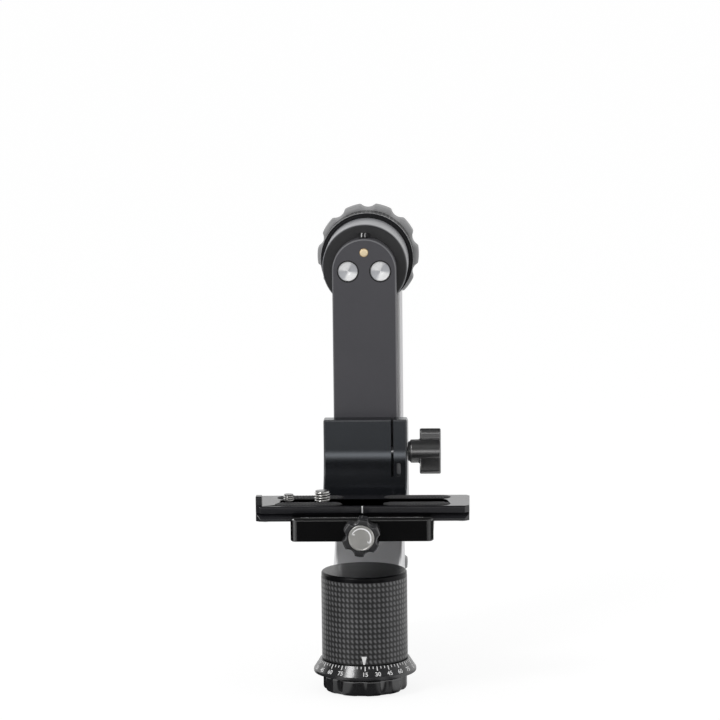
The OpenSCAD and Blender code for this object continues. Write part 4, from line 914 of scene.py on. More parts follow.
drum = turned(
    "tilt_drum_cup",
    [
        (journal_r, 0, 0.1),
        (drum_r - 1.0, 0, 0.25),
        (drum_r, 1.0, 0.5),
        (drum_r, drum_len, 0.3),
        (drum_bore_r, drum_len, 0.2),
        (drum_bore_r, drum_floor),
        (journal_r, drum_floor),
    ],
    (0, drum_low.y, axis_h),
    "Y",
    drum_skin.material,
    steps=240,
)
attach(drum, "swing")
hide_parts("tilt_drum")
dress(bright_steel, "tilt_axle")

# The index: five short ribs that stand out from the drum's face just above the arm's round
# end, side by side, painted black, white and grey.
bar_black, bar_white, bar_grey = (0.004, 0.004, 0.005), (0.85,) * 3, (0.42,) * 3
bars = (
    (bar_black, -2.95, -1.55),
    (bar_white, -1.5, -0.75),
    (bar_black, -0.7, 0.45),
    (bar_grey, 0.5, 1.35),
    (bar_black, 1.4, 2.95),
)
bar_low, bar_high, bar_proud, bar_taper, bar_sunk, bars_x = 19.12, 20.9, 8.5, 0.05, 0.02, -0.4
for count, (tone, left, right) in enumerate(bars):
    paint = Finish(f"bar_paint_{count}")
    patch = paint.grain(0.3, detail=2.0)
    paint.feed("Base Color", paint.mix([c * 0.8 for c in tone], tone, patch))
    paint.feed("Roughness", 0.4 + (patch - 0.5) * 0.2)
    points = []
    for y, inset in ((bar_sunk, 0.0), (-bar_proud, bar_taper)):
        x0, x1, z0, z1 = left + inset, right - inset, bar_low + inset, bar_high - inset
        points += [(x0, y, z0), (x1, y, z0), (x1, y, z1), (x0, y, z1)]
    sides = [[0, 3, 2, 1], [4, 5, 6, 7]] + [[i, (i + 1) % 4, (i + 1) % 4 + 4, i + 4] for i in range(4)]
    bar = drawn(f"index_bar_{count}", points, sides, paint.material)
    bar.location = Vector((bars_x, drum_low.y, axis_h)) * MM
    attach(bar, "swing")

# The tilt knob: a large hand knob behind the head that squeezes the spring washers and
# holds the tilt. An aluminium hub and rubber grip with ten wide lobes, and a turned steel cap.
tilt_low, tilt_high = box_mm("tilt_knob_grip")
hub_low, hub_high = box_mm("tilt_knob_hub")
cap_low, cap_high = box_mm("tilt_knob_cap")
tilt_outer_r, tilt_hub_r, tilt_cap_r, axle_r = tilt_high.x, tilt_high.x - 7.0, tilt_high.x - 13.35, 6.0
tilt_h = tilt_high.y - tilt_low.y
tilt_grip = lobed_grip(
    "tilt_knob_rubber",
    [("core", tilt_hub_r, 0.0), *rounded_rows(2.4, tilt_h), ("core", tilt_hub_r, tilt_h)],
    {"outer": tilt_outer_r, "lobes": 10, "valley": 2.3, "scoop": 6.5, "soften": 0.3},
    (0, tilt_low.y, axis_h),
    "Y",
    soft_grey,
)
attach(tilt_grip, "tilt_knob")
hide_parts("tilt_knob_grip")
hub_h = hub_high.y - hub_low.y
tilt_hub = turned(
    "tilt_knob_core",
    [
        (axle_r + 0.05, 0, 0.2),
        (tilt_hub_r - 0.8, 0, 0.3),
        (tilt_hub_r, 0.8),
        (tilt_hub_r, hub_h - 0.6, 0.3),
        (tilt_hub_r - 0.6, hub_h, 0.2),
        (tilt_cap_r + 2.2, hub_h, 0.3),
        (tilt_cap_r + 1.9, hub_h - 0.4, 0.2),
        (tilt_cap_r + 0.05, hub_h - 0.4, 0.15),
        (tilt_cap_r + 0.05, hub_h - 0.6),
        (axle_r + 0.05, hub_h - 0.6),
    ],
    (0, hub_low.y, axis_h),
    "Y",
    face_dark.material,
)
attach(tilt_hub, "tilt_knob")
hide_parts("tilt_knob_hub")
silver_face = lathe_steel("silver_face", (0.62, 0.62, 0.63), 0.34)
cap_t = cap_high.y - cap_low.y
tilt_cap = turned(
    "tilt_knob_lid",
    [
        (0, 0),
        (tilt_cap_r, 0, 0.1),
        (tilt_cap_r, cap_t, 0.35),
        (tilt_cap_r - 2.0, cap_t, 0.2),
        (tilt_cap_r - 2.3, cap_t - 0.3, 0.2),
        (0, cap_t - 0.3),
    ],
    (0, cap_low.y, axis_h),
    "Y",
    silver_face,
)
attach(tilt_cap, "tilt_knob")
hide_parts("tilt_knob_cap")

# The swing arm: a flat aluminium bar with a round end, milled all over, its edges chamfered,
# anodised matt charcoal, with a painted highlight on the chamfers. It hangs from the drum by two large screws.
arm_skin = Finish("arm_anodised")
brush = arm_skin.grain(0.5, detail=3.0, stretch=(1, 1, 0.03))
cloud = arm_skin.grain(26, detail=4.0)
speck = arm_skin.grain(0.3, detail=1.0)
shade = cloud * 0.5 + speck * 0.25 + brush * 0.25
arm_skin.feed("Base Color", arm_skin.mix((0.053, 0.052, 0.060), (0.074, 0.073, 0.082), shade))
arm_skin.feed("Roughness", 0.50 + (brush - 0.5) * 0.10 + (speck - 0.5) * 0.14)
arm_skin.relief(speck + brush * 0.3, 0.012)
arm = machined("swing_arm", "swing_arm_bar", 0, arm_skin.material, corner=24)
arm.data.materials.append(coated("arm_chamfer", (0.14, 0.14, 0.15), (0.20, 0.20, 0.21), 0.34))
# The chamfer faces get the lighter finish: a painted highlight.
for face in arm.data.polygons:
    leans = 0.3 < abs(face.normal.y) < 0.95
    face.material_index = 1 if leans else 0
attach(arm, "swing")
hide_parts("swing_arm")
dress(pin_steel, "arm_stop_screw")

# The two arm screws: stainless steel, their broad heads faced on a lathe into a shallow cone
# with a small centre hollow, with two bright fans painted on them as a painted highlight. Each
# one sits on a thin black ring, a painted shadow round its head.
screw_low, screw_high = box_mm("arm_screws")
screw_off, screw_drop = 9.85, 1.03
screw_head_r, screw_shank_r, screw_head_h = 6.15, 3.0, 4.6
screw_len = screw_high.y - screw_low.y
screw_steel = Finish("screw_steel", metallic=0.15, anisotropic=0.5)
x, y = screw_steel.split(screw_steel.place)[:2]
tool_rings = screw_steel.tool_rings(3.4)
# Two bright and two dark sectors round the axis: a painted highlight in fans.
turn = y.angle_from(x) / math.pi + 0.16
painted_fans = turn.fold(2.0).ease(0.25, 0.62)
painted_glint = painted_fans * 0.62 + tool_rings * 0.38
screw_steel.feed("Base Color", screw_steel.mix((0.34, 0.35, 0.38), (1.0, 1.0, 1.0), painted_glint))
screw_steel.feed("Roughness", 0.30 + (tool_rings - 0.5) * 0.2)
screw_steel.relief(tool_rings, 0.02)
arm_front_y = box_mm("swing_arm")[0].y
# A near-black ring round each head: a painted shadow.
seat_r, seat_t = screw_head_r + 0.55, 0.08
painted_shadow_ring = coated("painted_shadow_ring", (0.002, 0.002, 0.002), (0.005, 0.005, 0.005), 0.6)
for side, label in ((-1, "left"), (1, "right")):
    screw = turned(
        f"arm_screw_{label}",
        [
            (0, 1.1),
            (0.55, 1.1, 0.1),
            (1.05, 0.62, 0.15),
            (1.75, 0.62, 0.2),
            (2.05, 0.42, 0.15),
            (screw_head_r - 0.75, 0.12, 0.2),
            (screw_head_r - 0.45, 0.0, 0.2),
            (screw_head_r, 0.3, 0.25),
            (screw_head_r, screw_head_h),
            (screw_shank_r, screw_head_h),
            (screw_shank_r, screw_len, 0.4),
            (0, screw_len),
        ],
        (side * screw_off, screw_low.y, axis_h - screw_drop),
        "Y",
        screw_steel.material,
        steps=128,
        sharp=20,
    )
    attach(screw, "swing")
    if side < 0:
        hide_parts("arm_screws")
    seat = turned(
        f"arm_screw_painted_shadow_{label}",
        [(screw_head_r - 0.1, 0), (seat_r, 0, 0.03), (seat_r, seat_t), (screw_head_r - 0.1, seat_t)],
        (side * screw_off, arm_front_y - seat_t + 0.01, axis_h - screw_drop),
        "Y",
        painted_shadow_ring,
        steps=96,
    )
    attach(seat, "swing")

# The locating pin: a brass dowel through the arm into the drum, so that the arm always goes
# back to the same place. Its end is domed and polished, with painted shade round its rim.
pin_low, pin_high = box_mm("locating_pin")
pin_r = (pin_high.x - pin_low.x) / 2
pin_len = pin_high.y - pin_low.y
pin_brass = Finish("pin_brass", metallic=0.3)
stain = pin_brass.grain(1.2, detail=4.0)
pin_gold = pin_brass.mix((0.92, 0.72, 0.44), (1.0, 0.86, 0.60), stain)
# The rim of the pin's end is darkened: painted shade.
painted_rim_shade = pin_brass.radius().ease(pin_r * 0.70, pin_r)
pin_brass.feed("Base Color", pin_brass.mix(pin_gold, (0.42, 0.27, 0.11), painted_rim_shade))
pin_brass.feed("Roughness", 0.24 + (stain - 0.5) * 0.2)
pin_brass.relief(stain, 0.005)
pin = turned(
    "locating_dowel",
    [
        (0, 0.0),
        (pin_r * 0.6, 0.03, 0.6),
        (pin_r - 0.1, 0.22, 0.3),
        (pin_r, 0.6, 0.3),
        (pin_r, pin_len, 0.3),
        (0, pin_len),
    ],
    (0, pin_low.y, (pin_low.z + pin_high.z) / 2),
    "Y",
    pin_brass.material,
    steps=64,
)
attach(pin, "swing")
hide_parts("locating_pin")

# The carriage: a milled aluminium block that slides on the arm. A slit on the right lets
# the wing knob close it, and its front sweeps forward into the leg that meets the clamp.
satin_black = Finish("satin_black", ior=2.1, specular_tint=(0.86, 0.92, 1.0))
cloud = satin_black.grain(22, detail=4.0)
speck = satin_black.grain(0.28, detail=1.0)
mill = satin_black.grain(0.6, detail=2.0, stretch=(0.05, 1, 1))
shade = cloud * 0.6 + speck * 0.4
satin_black.feed("Base Color", satin_black.mix((0.0026, 0.0029, 0.0038), (0.0048, 0.0053, 0.0066), shade))
satin_black.feed("Roughness", 0.21 + (cloud - 0.5) * 0.06 + (speck - 0.5) * 0.10 + (mill - 0.5) * 0.04)
satin_black.relief(speck + mill * 0.4, 0.008)
block_low, block_high = box_mm("carriage")
block_half_w, block_front, block_slope_from, block_slope_drop = block_high.x, 47.0, 58.0, 5.0
block_edge, sweep_r, leg_front, leg_step_h = 1.0, 25.0, 28.9, 109.7
block_top, block_rear, arm_half_w = block_high.z, block_high.y, box_mm("swing_arm")[1].x
sweep_h, sweep_steps, sweep_end = block_top - 18.2, 40, 20.6
slit_x, slit_half, slit_foot = block_half_w - 9.1, 0.75, block_top - 34.2
wing_y, wing_h, wing_bore_r = 52.0, block_top - 20.2, 3.05
relief_x, relief_mid_h = block_half_w - 5.3, slit_foot + 3.9
relief_half, relief_r, relief_floor = 2.3, 1.6, 48.5
channel_front, channel_rear, channel_play = 57.85, 73.15, 0.15
liner_depth, liner_half_w, liner_inset, liner_end = 1.2, 5.5, 6.5, 12
stop_half_w, stop_depth, stop_top = 3, 2.35, block_top - 5.7
screw_x, screw_rows, screw_bore_r, screw_seat_r = block_half_w - 10, (9.5, 23.0), 2.5, 4.6
tongue_x, tongue_front, tongue_h = block_half_w - 3, 4, 5
slit_rear, clear_front, clear_low, clear_high = 58.5, 20, 90, 160
wing_bore_from, wing_bore_to, inside_channel, above_tongue = -20, 30, 73, 105
seat_h, cone_top = block_low.z + 0.2, block_low.z + 2.8


def solid(points, faces):
    """A closed shell from points in mm."""
    work = bmesh.new()
    made = [work.verts.new(Vector(p) * MM) for p in points]
    for face in faces:
        work.faces.new([made[i] for i in face])
    bmesh.ops.recalc_face_normals(work, faces=work.faces)
    return work


def extruded(outline, low, high, place):
    """An outline of (u, v) points run from low to high: place(u, v, w) gives the point in mm."""
    n = len(outline)
    points = [place(u, v, w) for w in (low, high) for u, v in outline]
    faces = [list(range(n))[::-1], list(range(n, 2 * n))]
    faces += [[i, (i + 1) % n, (i + 1) % n + n, i + n] for i in range(n)]
    return solid(points, faces)


def brick(x0, x1, y0, y1, z0, z1):
    return extruded([(x0, y0), (x1, y0), (x1, y1), (x0, y1)], z0, z1, lambda u, v, w: (u, v, w))


def peg(x, y, z0, z1, r0, r1, sides=32):
    """A cylinder or cone standing on Z."""
    ends = {z0: r0, z1: r1}
    ring = [(math.cos(a), math.sin(a)) for a in angles(sides)]
    return extruded(ring, z0, z1, lambda u, v, w: (x + ends[w] * u, y + ends[w] * v, w))


def carved(name, body, added, removed, material, sharp=30):
    """The body with the added shells joined on and the removed shells cut away."""
    blank = bpy.data.objects.new(name, as_mesh(name, body))
    bpy.context.scene.collection.objects.link(blank)
    tools = []
    for cutter, kind in [(s, "UNION") for s in added] + [(s, "DIFFERENCE") for s in removed]:
        tool = bpy.data.objects.new("tool", as_mesh("tool", cutter))
        bpy.context.scene.collection.objects.link(tool)
        tools.append(tool)
        step = blank.modifiers.new("step", "BOOLEAN")
        step.operation, step.solver, step.object = kind, "EXACT", tool
    bpy.context.view_layer.update()
    result = bpy.data.meshes.new_from_object(blank.evaluated_get(bpy.context.evaluated_depsgraph_get()))
    for item in (blank, *tools):
        data = item.data
        bpy.data.objects.remove(item)
        bpy.data.meshes.remove(data)
    result.name = name
    return keep_flat(as_piece(name, result, material, sharp))


sweep = [math.radians(90 * i / sweep_steps) for i in range(sweep_steps + 1)]
profile = [
    (leg_front, block_low.z),
    (block_rear, block_low.z),
    (block_rear, block_top - block_slope_drop),
    (block_slope_from, block_top),
    (block_front, block_top),
    *((block_front - sweep_r + sweep_r * math.cos(a), sweep_h - sweep_r * math.sin(a)) for a in sweep),
    (sweep_end, sweep_h - sweep_r),
    (sweep_end, leg_step_h),
    (leg_front, leg_step_h),
]
block = extruded(profile, -block_half_w, block_half_w, lambda u, v, w: (w, u, v))
corners = [e for e in block.edges if e.calc_face_angle(0.0) > math.radians(10)]
bmesh.ops.bevel(
    block,
    geom=corners,
    offset=block_edge * MM,
    segments=3,
    profile=0.5,
    affect="EDGES",
    clamp_overlap=False,
)
oval = []
for a in angles(32, first=0.5):
    end_h = relief_mid_h + math.copysign(relief_half, math.cos(a))
    oval.append((relief_x + relief_r * math.sin(a), end_h + relief_r * math.cos(a)))
wing_bore = [(wing_y + wing_bore_r * math.cos(a), wing_h + wing_bore_r * math.sin(a)) for a in angles(32)]
arm_w = arm_half_w + channel_play
liner_rear = channel_rear + liner_depth
liner_foot, liner_top = block_low.z + liner_end, block_top - liner_end
cuts = [
    brick(-arm_w, arm_w, channel_front, channel_rear, clear_low, clear_high),
    brick(slit_x - slit_half, slit_x + slit_half, clear_front, slit_rear, slit_foot, clear_high),
    brick(-stop_half_w, stop_half_w, inside_channel, channel_rear + stop_depth, clear_low, stop_top),
    extruded(oval, clear_front, relief_floor, lambda u, v, w: (u, w, v)),
    extruded(wing_bore, wing_bore_from, wing_bore_to, lambda u, v, w: (w, u, v)),
]
for x in (liner_inset - arm_half_w, arm_half_w - liner_inset):
    cuts.append(brick(x - liner_half_w, x + liner_half_w, inside_channel, liner_rear, liner_foot, liner_top))
for x in (-screw_x, screw_x):
    for y in screw_rows:
        cuts.append(peg(x, y, clear_low, above_tongue, screw_bore_r, screw_bore_r))
        cuts.append(peg(x, y, clear_low, seat_h, screw_seat_r, screw_seat_r))
        cuts.append(peg(x, y, seat_h, cone_top, screw_seat_r, screw_bore_r))
tongue = brick(-tongue_x, tongue_x, tongue_front, leg_front + 1, block_low.z, block_low.z + tongue_h)
carriage = carved("carriage_block", block, [tongue], cuts, satin_black.material)
# The bevels on the front get a lighter finish: a painted highlight along the edges.
carriage.data.materials.append(coated("painted_edge_highlight", (0.050, 0.052, 0.056), (0.085, 0.088, 0.094), 0.30))
edge_band = 2.0
for face in carriage.data.polygons:
    on_corner = 0.15 < abs(face.normal.x) < 0.85
    on_top_edge = 0.15 < face.normal.z < 0.85 and face.center.z > (block_top - edge_band) * MM
    if face.normal.y < -0.4 and (on_corner or on_top_edge):
        face.material_index = 1
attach(carriage, "slide_block")
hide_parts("carriage")
liner_plastic = moulded_rubber(
    "liner_plastic", (0.45, 0.44, 0.40), (0.55, 0.54, 0.50), 0.45, grain_mm=1.2, depth_mm=0.01
)
dress(liner_plastic, "slide_liners")
dress(pin_steel, "clamp_screws", "jaw_guide_pins")
relief_grey = coated("relief_grey", (0.20, 0.20, 0.21), (0.30, 0.30, 0.31), 0.35)
plug_share_w, plug_share_h, plug_proud, plug_deep, plug_edge = 0.86, 0.94, 1.1, 0.6, 0.35
plug_oval = [
    (relief_x + (u - relief_x) * plug_share_w, relief_mid_h + (v - relief_mid_h) * plug_share_h) for u, v in oval
]
plug_shell = extruded(
    plug_oval, relief_floor - plug_proud, relief_floor + plug_deep, lambda u, v, w: (u, w, v)
)
plug_rim = [e for e in plug_shell.edges if all(v.co.y < (relief_floor - 1.0) * MM for v in e.verts)]
bmesh.ops.bevel(plug_shell, geom=plug_rim, offset=plug_edge * MM, segments=3, profile=0.5, affect="EDGES")
relief_plug = as_piece("relief_plug", as_mesh("relief_plug", plug_shell), relief_grey)
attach(relief_plug, "slide_block")
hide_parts("relief_pin")

# The wing knob: cast aluminium in satin black, a round hub with two flat wings set to
# opposite sides of it. Its steel screw crosses the slit and pulls the block together.
wing_skin = Finish("wing_skin", ior=3.0)
cloud = wing_skin.grain(16, detail=3.0)
speck = wing_skin.grain(0.25, detail=1.0)
shade = cloud * 0.7 + speck * 0.3
wing_skin.feed("Base Color", wing_skin.mix((0.007, 0.007, 0.008), (0.013, 0.013, 0.014), shade))
wing_skin.feed("Roughness", 0.30 + (cloud - 0.5) * 0.04 + (speck - 0.5) * 0.04)
wing_skin.relief(speck, 0.001)
wing = machined("wing_knob", "wing_knob_casting", 0.9, wing_skin.material, corner=30, steps=3)
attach(wing, "wing")
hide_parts("wing_knob")
dress(bright_steel, "wing_knob_screw")

# The clamp: a fixed jaw with its floor, screwed under the carriage, and a moving jaw on two
# guide pins in front. Both are milled aluminium, anodised glossy black.
gloss_black = Finish("gloss_black_anodised", specular_ior_level=0.14)
cloud = gloss_black.grain(18, detail=4.0)
speck = gloss_black.grain(0.22, detail=1.0)
gloss_black.feed("Base Color", gloss_black.mix((0.0018, 0.0018, 0.002), (0.0036, 0.0036, 0.004), cloud))
gloss_black.feed("Roughness", 0.24 + (cloud - 0.5) * 0.06 + (speck - 0.5) * 0.06)
gloss_black.relief(speck, 0.004)
fixed_jaw = machined("clamp_base", "clamp_fixed_jaw", 0.45, gloss_black.material, steps=3)
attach(fixed_jaw, "slide_block")
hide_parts("clamp_base")
jaw_front = box_mm("clamp_jaw")[0].y
jaw_round, jaw_other_share = 2.2, 0.45


def jaw_corner(first, second):
    """How much of the full rounding an edge of the moving jaw gets."""
    upright_edge = abs(first.z - second.z) > 3 and max(first.y, second.y) < jaw_front + 0.5
    return 1.0 if upright_edge else jaw_other_share


jaw = machined("clamp_jaw", "clamp_moving_jaw", jaw_round, gloss_black.material, steps=4, pick=jaw_corner)
jaw.data.materials.append(coated("jaw_edge", (0.003, 0.003, 0.003), (0.007, 0.007, 0.007), 0.22, ior=2.3))
jaw.modifiers["broken_edges"].material = 1
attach(jaw, "jaw")
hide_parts("clamp_jaw")

# The scale on the moving jaw: fine white lines with dots at the tens, printed on its top
# face along the rounded front edge.
jaw_low, jaw_high = box_mm("clamp_jaw")
scale_pitch, scale_half, dot_every = 1.09, 33, 10
line_w, line_len, dot_r = 0.24, 1.7, 0.55
line_y, dot_y, scale_h = jaw_low.y + 1.35, jaw_low.y + 2.55, jaw_high.z + mark_lift
points, faces = [], []
for k in range(-scale_half, scale_half + 1):
    middle = Vector((k * scale_pitch, 0, scale_h))
    start = len(points)
    if k % dot_every:
        corners = ((-line_w / 2, 0), (line_w / 2, 0), (line_w / 2, line_len), (-line_w / 2, line_len))
        points += [middle + Vector((x, line_y + y, 0)) for x, y in corners]
    else:
        points += [middle + Vector((0, dot_y, 0)) + round_point(dot_r, a) for a in angles(12)]
    faces.append(list(range(start, len(points))))
jaw_scale = drawn("jaw_scale", points, faces, white_ink("jaw_scale_white", 0.6))
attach(jaw_scale, "jaw")

# The clamp knob: a small six-lobed knob of black plastic over a steel screw, with a turned
# silver disc let into its face. A white arc on the disc shows which way it tightens.
knob_low, knob_high = box_mm("clamp_knob_grip")
disc_low, disc_high = box_mm("clamp_knob_disc")
knob_axis_h = 100.25
knob_outer_r, knob_neck_r, knob_bore_r = 11.5, 6.0, 3.0
disc_r = (disc_high.x - disc_low.x) / 2
knob_h, knob_len = 12.0, knob_high.y - knob_low.y
knob_plastic = moulded_rubber(
    "knob_plastic",
    (0.014, 0.014, 0.016),
    (0.028, 0.028, 0.030),
    0.20,
    grain_mm=0.4,
    depth_mm=0.005,
    ior=1.8,
)
disc_seat = 1.4
clamp_knob = lobed_grip(
    "clamp_knob_lobes",
    [
        ("core", knob_bore_r, disc_seat),
        ("core", disc_r + 0.02, disc_seat),
        ("core", disc_r + 0.02, 0.25),
        ("core", disc_r + 0.3, 0.0),
        *rounded_rows(1.4, knob_h),
        ("core", knob_neck_r + 0.5, knob_h),
        ("core", knob_neck_r, knob_h + 0.3),
        ("core", knob_neck_r, knob_len),
        ("core", knob_bore_r, knob_len),
    ],
    {"outer": knob_outer_r, "lobes": 6, "valley": 2.0, "scoop": 4.0, "soften": 0.25},
    (0, knob_low.y, knob_axis_h),
    "Y",
    knob_plastic,
    turn=math.radians(97),
    per_lobe=48,
)
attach(clamp_knob, "clamp_knob")
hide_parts("clamp_knob_grip")
disc_t, disc_sink = disc_high.y - disc_low.y, 0.12
knob_disc = turned(
    "clamp_knob_face",
    [
        (0, disc_t),
        (disc_r, disc_t, 0.1),
        (disc_r, 0.3, 0.1),
        (disc_r - 0.3, 0, 0.2),
        (disc_r - 0.9, 0.0, 0.1),
        (disc_r - 1.05, disc_sink, 0.1),
        (0, disc_sink),
    ],
    (0, disc_low.y, knob_axis_h),
    "Y",
    lathe_steel("disc_silver", (0.80, 0.79, 0.76), 0.36, groove_mm=0.5, depth_mm=0.004, anisotropy=0.4),
    steps=128,
)
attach(knob_disc, "clamp_knob")
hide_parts("clamp_knob_disc")
dress(bright_steel, "clamp_knob_screw")

arc_r, arc_from, arc_to, arc_steps = 5.75, math.radians(155), math.radians(-33), 64
arc_thin, arc_thick, arc_y = 0.55, 0.95, disc_sink - mark_lift
barb_len, barb_half_w, barb_lean = 1.7, 0.3, math.radians(14)
points, faces = [], []
for i in range(arc_steps + 1):
    a = arc_from + (arc_to - arc_from) * i / arc_steps
    half = (arc_thin + (arc_thick - arc_thin) * i / arc_steps) / 2
    points += [Vector((r * math.cos(a), arc_y, r * math.sin(a))) for r in (arc_r - half, arc_r + half)]
    if i:
        k = 2 * i
        faces.append([k - 2, k - 1, k + 1, k])
for a, lean in ((arc_from, barb_lean), (arc_to, -barb_lean)):
    tip = Vector((arc_r * math.cos(a), arc_y, arc_r * math.sin(a)))
    inward = Vector((-math.cos(a + lean), 0, -math.sin(a + lean)))
    across = Vector((inward.z, 0, -inward.x)) * barb_half_w
    start = len(points)
    end = tip + inward * barb_len
    points += [tip - across, tip + across, end + across, end - across]
    faces.append([start, start + 1, start + 2, start + 3])
turn_arc = drawn("turn_arc", points, faces, white_ink("arc_white", 0.97))
turn_arc.location = Vector((0, disc_low.y, knob_axis_h)) * MM
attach(turn_arc, "clamp_knob")

# The camera plate: an extruded dovetail bar cut to length and milled, anodised black, with
# a long slot for the camera screws. Four rubber pads are let into its top.
plate_low, plate_high = box_mm("plate")
plate_skin = Finish("plate_anodised", ior=1.7)
cloud = plate_skin.grain(18, detail=4.0)
speck = plate_skin.grain(0.22, detail=1.0)
draw = plate_skin.grain(0.5, detail=2.0, stretch=(0.03, 1, 1))
plate_skin.feed("Base Color", plate_skin.mix((0.010, 0.010, 0.012), (0.018, 0.018, 0.021), cloud))
plate_skin.feed("Roughness", 0.22 + (draw - 0.5) * 0.08 + (speck - 0.5) * 0.06)
plate_skin.relief(draw + speck * 0.5, 0.005)
plate = machined("plate", "camera_plate_bar", 0.3, plate_skin.material, corner=30, steps=3)
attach(plate, "camera_plate")
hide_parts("plate")

# The plate's pads: black rubber strips with round ends, moulded with rows of small studs
# that grip a camera or lens foot.
pad_low, pad_high = box_mm("plate_pads")
pad_len, pad_wide, pad_play, pad_edge, pad_sides = 40.0, 12.0, 0.05, 0.12, 48
pad_x, pad_y = 32.0, 11.35
stud_pitch, stud_r, stud_h, stud_sunk, stud_margin, stud_sides = 1.85, 0.60, 0.3, 0.02, 0.9, 8
pad_base_h = pad_high.z - stud_h
half_len, end_r = (pad_len - pad_wide) / 2, pad_wide / 2 - pad_play

pad_rubber = Finish("pad_rubber")
speck = pad_rubber.grain(0.35, detail=2.0)
# The studs are painted lighter than the rubber between them: a painted highlight on the studs and painted shade
# between them.
raised = pad_rubber.height().ease(pad_base_h + 0.02, pad_base_h + 0.2)
ground = pad_rubber.mix((0.006, 0.006, 0.0065), (0.013, 0.013, 0.014), speck)
stud_highlight_paint = pad_rubber.mix((0.055, 0.055, 0.058), (0.095, 0.095, 0.098), speck)
pad_rubber.feed("Base Color", pad_rubber.mix(ground, stud_highlight_paint, raised))
pad_rubber.feed("Roughness", 0.62 - raised * 0.14 + (speck - 0.5) * 0.15)
pad_rubber.relief(speck, 0.02)


def stack(points, faces, rings):
    """Adds a solid drawn over rings of points, flat at both ends."""
    n, start = len(rings[0]), len(points)
    for ring in rings:
        points += ring
    last = len(points) - n
    for low in range(start, last, n):
        faces += [[low + i, low + (i + 1) % n, low + (i + 1) % n + n, low + i + n] for i in range(n)]
    faces += [list(range(last, last + n)), list(range(start, start + n))[::-1]]


def pad_ring(inset, height):
    """The pad's outline, with its round ends, set in and at a height."""
    r = end_r - inset
    return [
        round_point(r, a, height) + Vector((math.copysign(half_len, math.cos(a)), 0, 0))
        for a in angles(pad_sides, first=0.5)
    ]


points, faces = [], []
profile = ((0, pad_low.z), (0, pad_base_h - pad_edge), (pad_edge, pad_base_h))
stack(points, faces, [pad_ring(inset, height) for inset, height in profile])
stud_profile = ((stud_r, -stud_sunk), (stud_r * 0.85, stud_h * 0.7), (stud_r * 0.45, stud_h))
rows = int(pad_wide / stud_pitch)
for row in range(rows):
    y = (row - (rows - 1) / 2) * stud_pitch
    reach = half_len + math.sqrt(max(0.0, (end_r - stud_margin) ** 2 - y * y))
    count = int(2 * reach / stud_pitch)
    for k in range(count + 1):
        foot = Vector(((k - count / 2) * stud_pitch, y, pad_base_h))
        rings = [[foot + round_point(r, a, h) for a in angles(stud_sides)] for r, h in stud_profile]
        stack(points, faces, rings)
for px, x_label in ((-pad_x, "left"), (pad_x, "right")):
    for py, y_label in ((-pad_y, "front"), (pad_y, "rear")):
        pad = drawn(f"plate_pad_{x_label}_{y_label}", points, faces, pad_rubber.material, sharp=50)
        pad.location = Vector((px, py, 0)) * MM
        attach(pad, "camera_plate")
        if (px, py) == (-pad_x, -pad_y):
            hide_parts("plate_pads")

# The plate's small parts: the lip that stops a lens foot at the left end, two stop screws
# under the ends, and a white line that marks the middle of the front edge.
lip = machined("plate_lip", "plate_end_lip", 0.3, plate_skin.material, steps=3)
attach(lip, "camera_plate")
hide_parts("plate_lip")
dress(bright_steel, "plate_stop_screws")
mark_low, mark_half_w, edge_h, edge_depth = 110.75, 0.375, 0.62, 0.6
rungs = (
    (plate_low.y - mark_lift, mark_low),
    (plate_low.y - mark_lift, plate_high.z - edge_h),
    (plate_low.y - mark_lift + edge_depth, plate_high.z + 0.02),
)
points = [(x, y, z) for y, z in rungs for x in (-mark_half_w, mark_half_w)]
middle_mark = drawn("middle_mark", points, [[0, 1, 3, 2], [2, 3, 5, 4]], white_ink("mark_white", 0.8))
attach(middle_mark, "camera_plate")

# The camera screws: bright steel studs, 3/8 and 1/4 inch, that slide along the slot. Each
# is a rolled thread with a bevelled tip, over a head and a washer that run in the slot's tee.
thread_foot, stud_head_h, thread_steps, rungs_per_turn = 115.4, 3.1, 96, 10


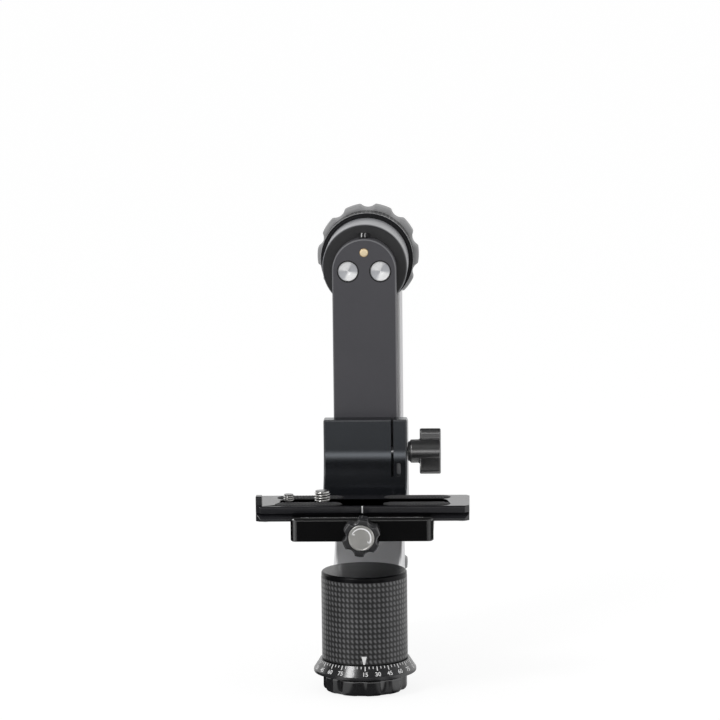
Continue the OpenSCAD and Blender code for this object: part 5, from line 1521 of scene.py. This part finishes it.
def threaded(name, x, thread_r, pitch, high, head_r, head_low, neck_r, material):
    """A screw standing on Z: a helical thread up to its tip, over a neck and a head."""
    around = angles(thread_steps)
    depth = pitch * 0.52
    head_high = head_low + stud_head_h
    turned_part = (
        (head_r - 0.3, head_low),
        (head_r, head_low + 0.3),
        (head_r, head_high - 0.2),
        (head_r - 0.2, head_high),
        (neck_r, head_high),
        (neck_r, thread_foot),
    )
    rings = [[Vector((0, 0, head_low))]] + [[round_point(r, a, h) for a in around] for r, h in turned_part]
    count = int((high - thread_foot) / pitch * rungs_per_turn)
    for k in range(count + 1):
        h = thread_foot + (high - thread_foot) * k / count
        bevelled = thread_r - 0.7 * depth * (1 - min(1.0, (high - h) / (pitch * 0.9)))
        ring = []
        for a in around:
            wave = abs(2 * ((h / pitch - a / math.tau) % 1.0) - 1)
            flank = min(1.0, max(0.0, (wave - 0.08) / 0.80))
            ring.append(round_point(min(thread_r - depth * (1 - flank), bevelled), a, h))
        rings.append(ring)
    rings += [[round_point(thread_r - depth - 0.4, a, high) for a in around], [Vector((0, 0, high))]]
    piece = as_piece(name, as_mesh(name, shell(rings)), material, sharp=45)
    piece.location = (x * MM, 0, 0)
    return piece


def stud_steel(name, thread_r, valley):
    """Bright rolled steel with painted shade in the thread's valleys, which are valley deep."""
    finish = Finish(name, metallic=0.7)
    stain = finish.grain(0.6, detail=4.0)
    crest = finish.radius().ease(thread_r - valley * 0.85, thread_r - valley * 0.3)
    worn = finish.mix((0.74, 0.73, 0.71), (0.96, 0.95, 0.93), stain)
    # Painted shade in the valleys, full bright steel on the crests.
    finish.feed("Base Color", finish.mix((0.10, 0.10, 0.10), worn, crest))
    finish.feed("Roughness", 0.20 + (stain - 0.5) * 0.14)
    finish.relief(stain, 0.004)
    return finish.material


large_low, large_high = box_mm("large_camera_screw")
small_low, small_high = box_mm("small_camera_screw")
large_r, small_r = 4.7625, 3.175
large_screw = threaded(
    "large_screw_threaded",
    x=-24.5,
    thread_r=large_r,
    pitch=1.5875,
    high=large_high.z,
    head_r=7.7,
    head_low=large_low.z,
    neck_r=4.26,
    material=stud_steel("large_stud_steel", large_r, 0.83),
)
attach(large_screw, "large_screw")
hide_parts("large_camera_screw")
small_screw = threaded(
    "small_screw_threaded",
    x=-44.6,
    thread_r=small_r,
    pitch=1.27,
    high=small_high.z,
    head_r=5.8,
    head_low=small_low.z,
    neck_r=2.67,
    material=stud_steel("small_stud_steel", small_r, 0.66),
)
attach(small_screw, "small_screw")
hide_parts("small_camera_screw")
dress(pin_steel, "large_screw_washer", "small_screw_washer")
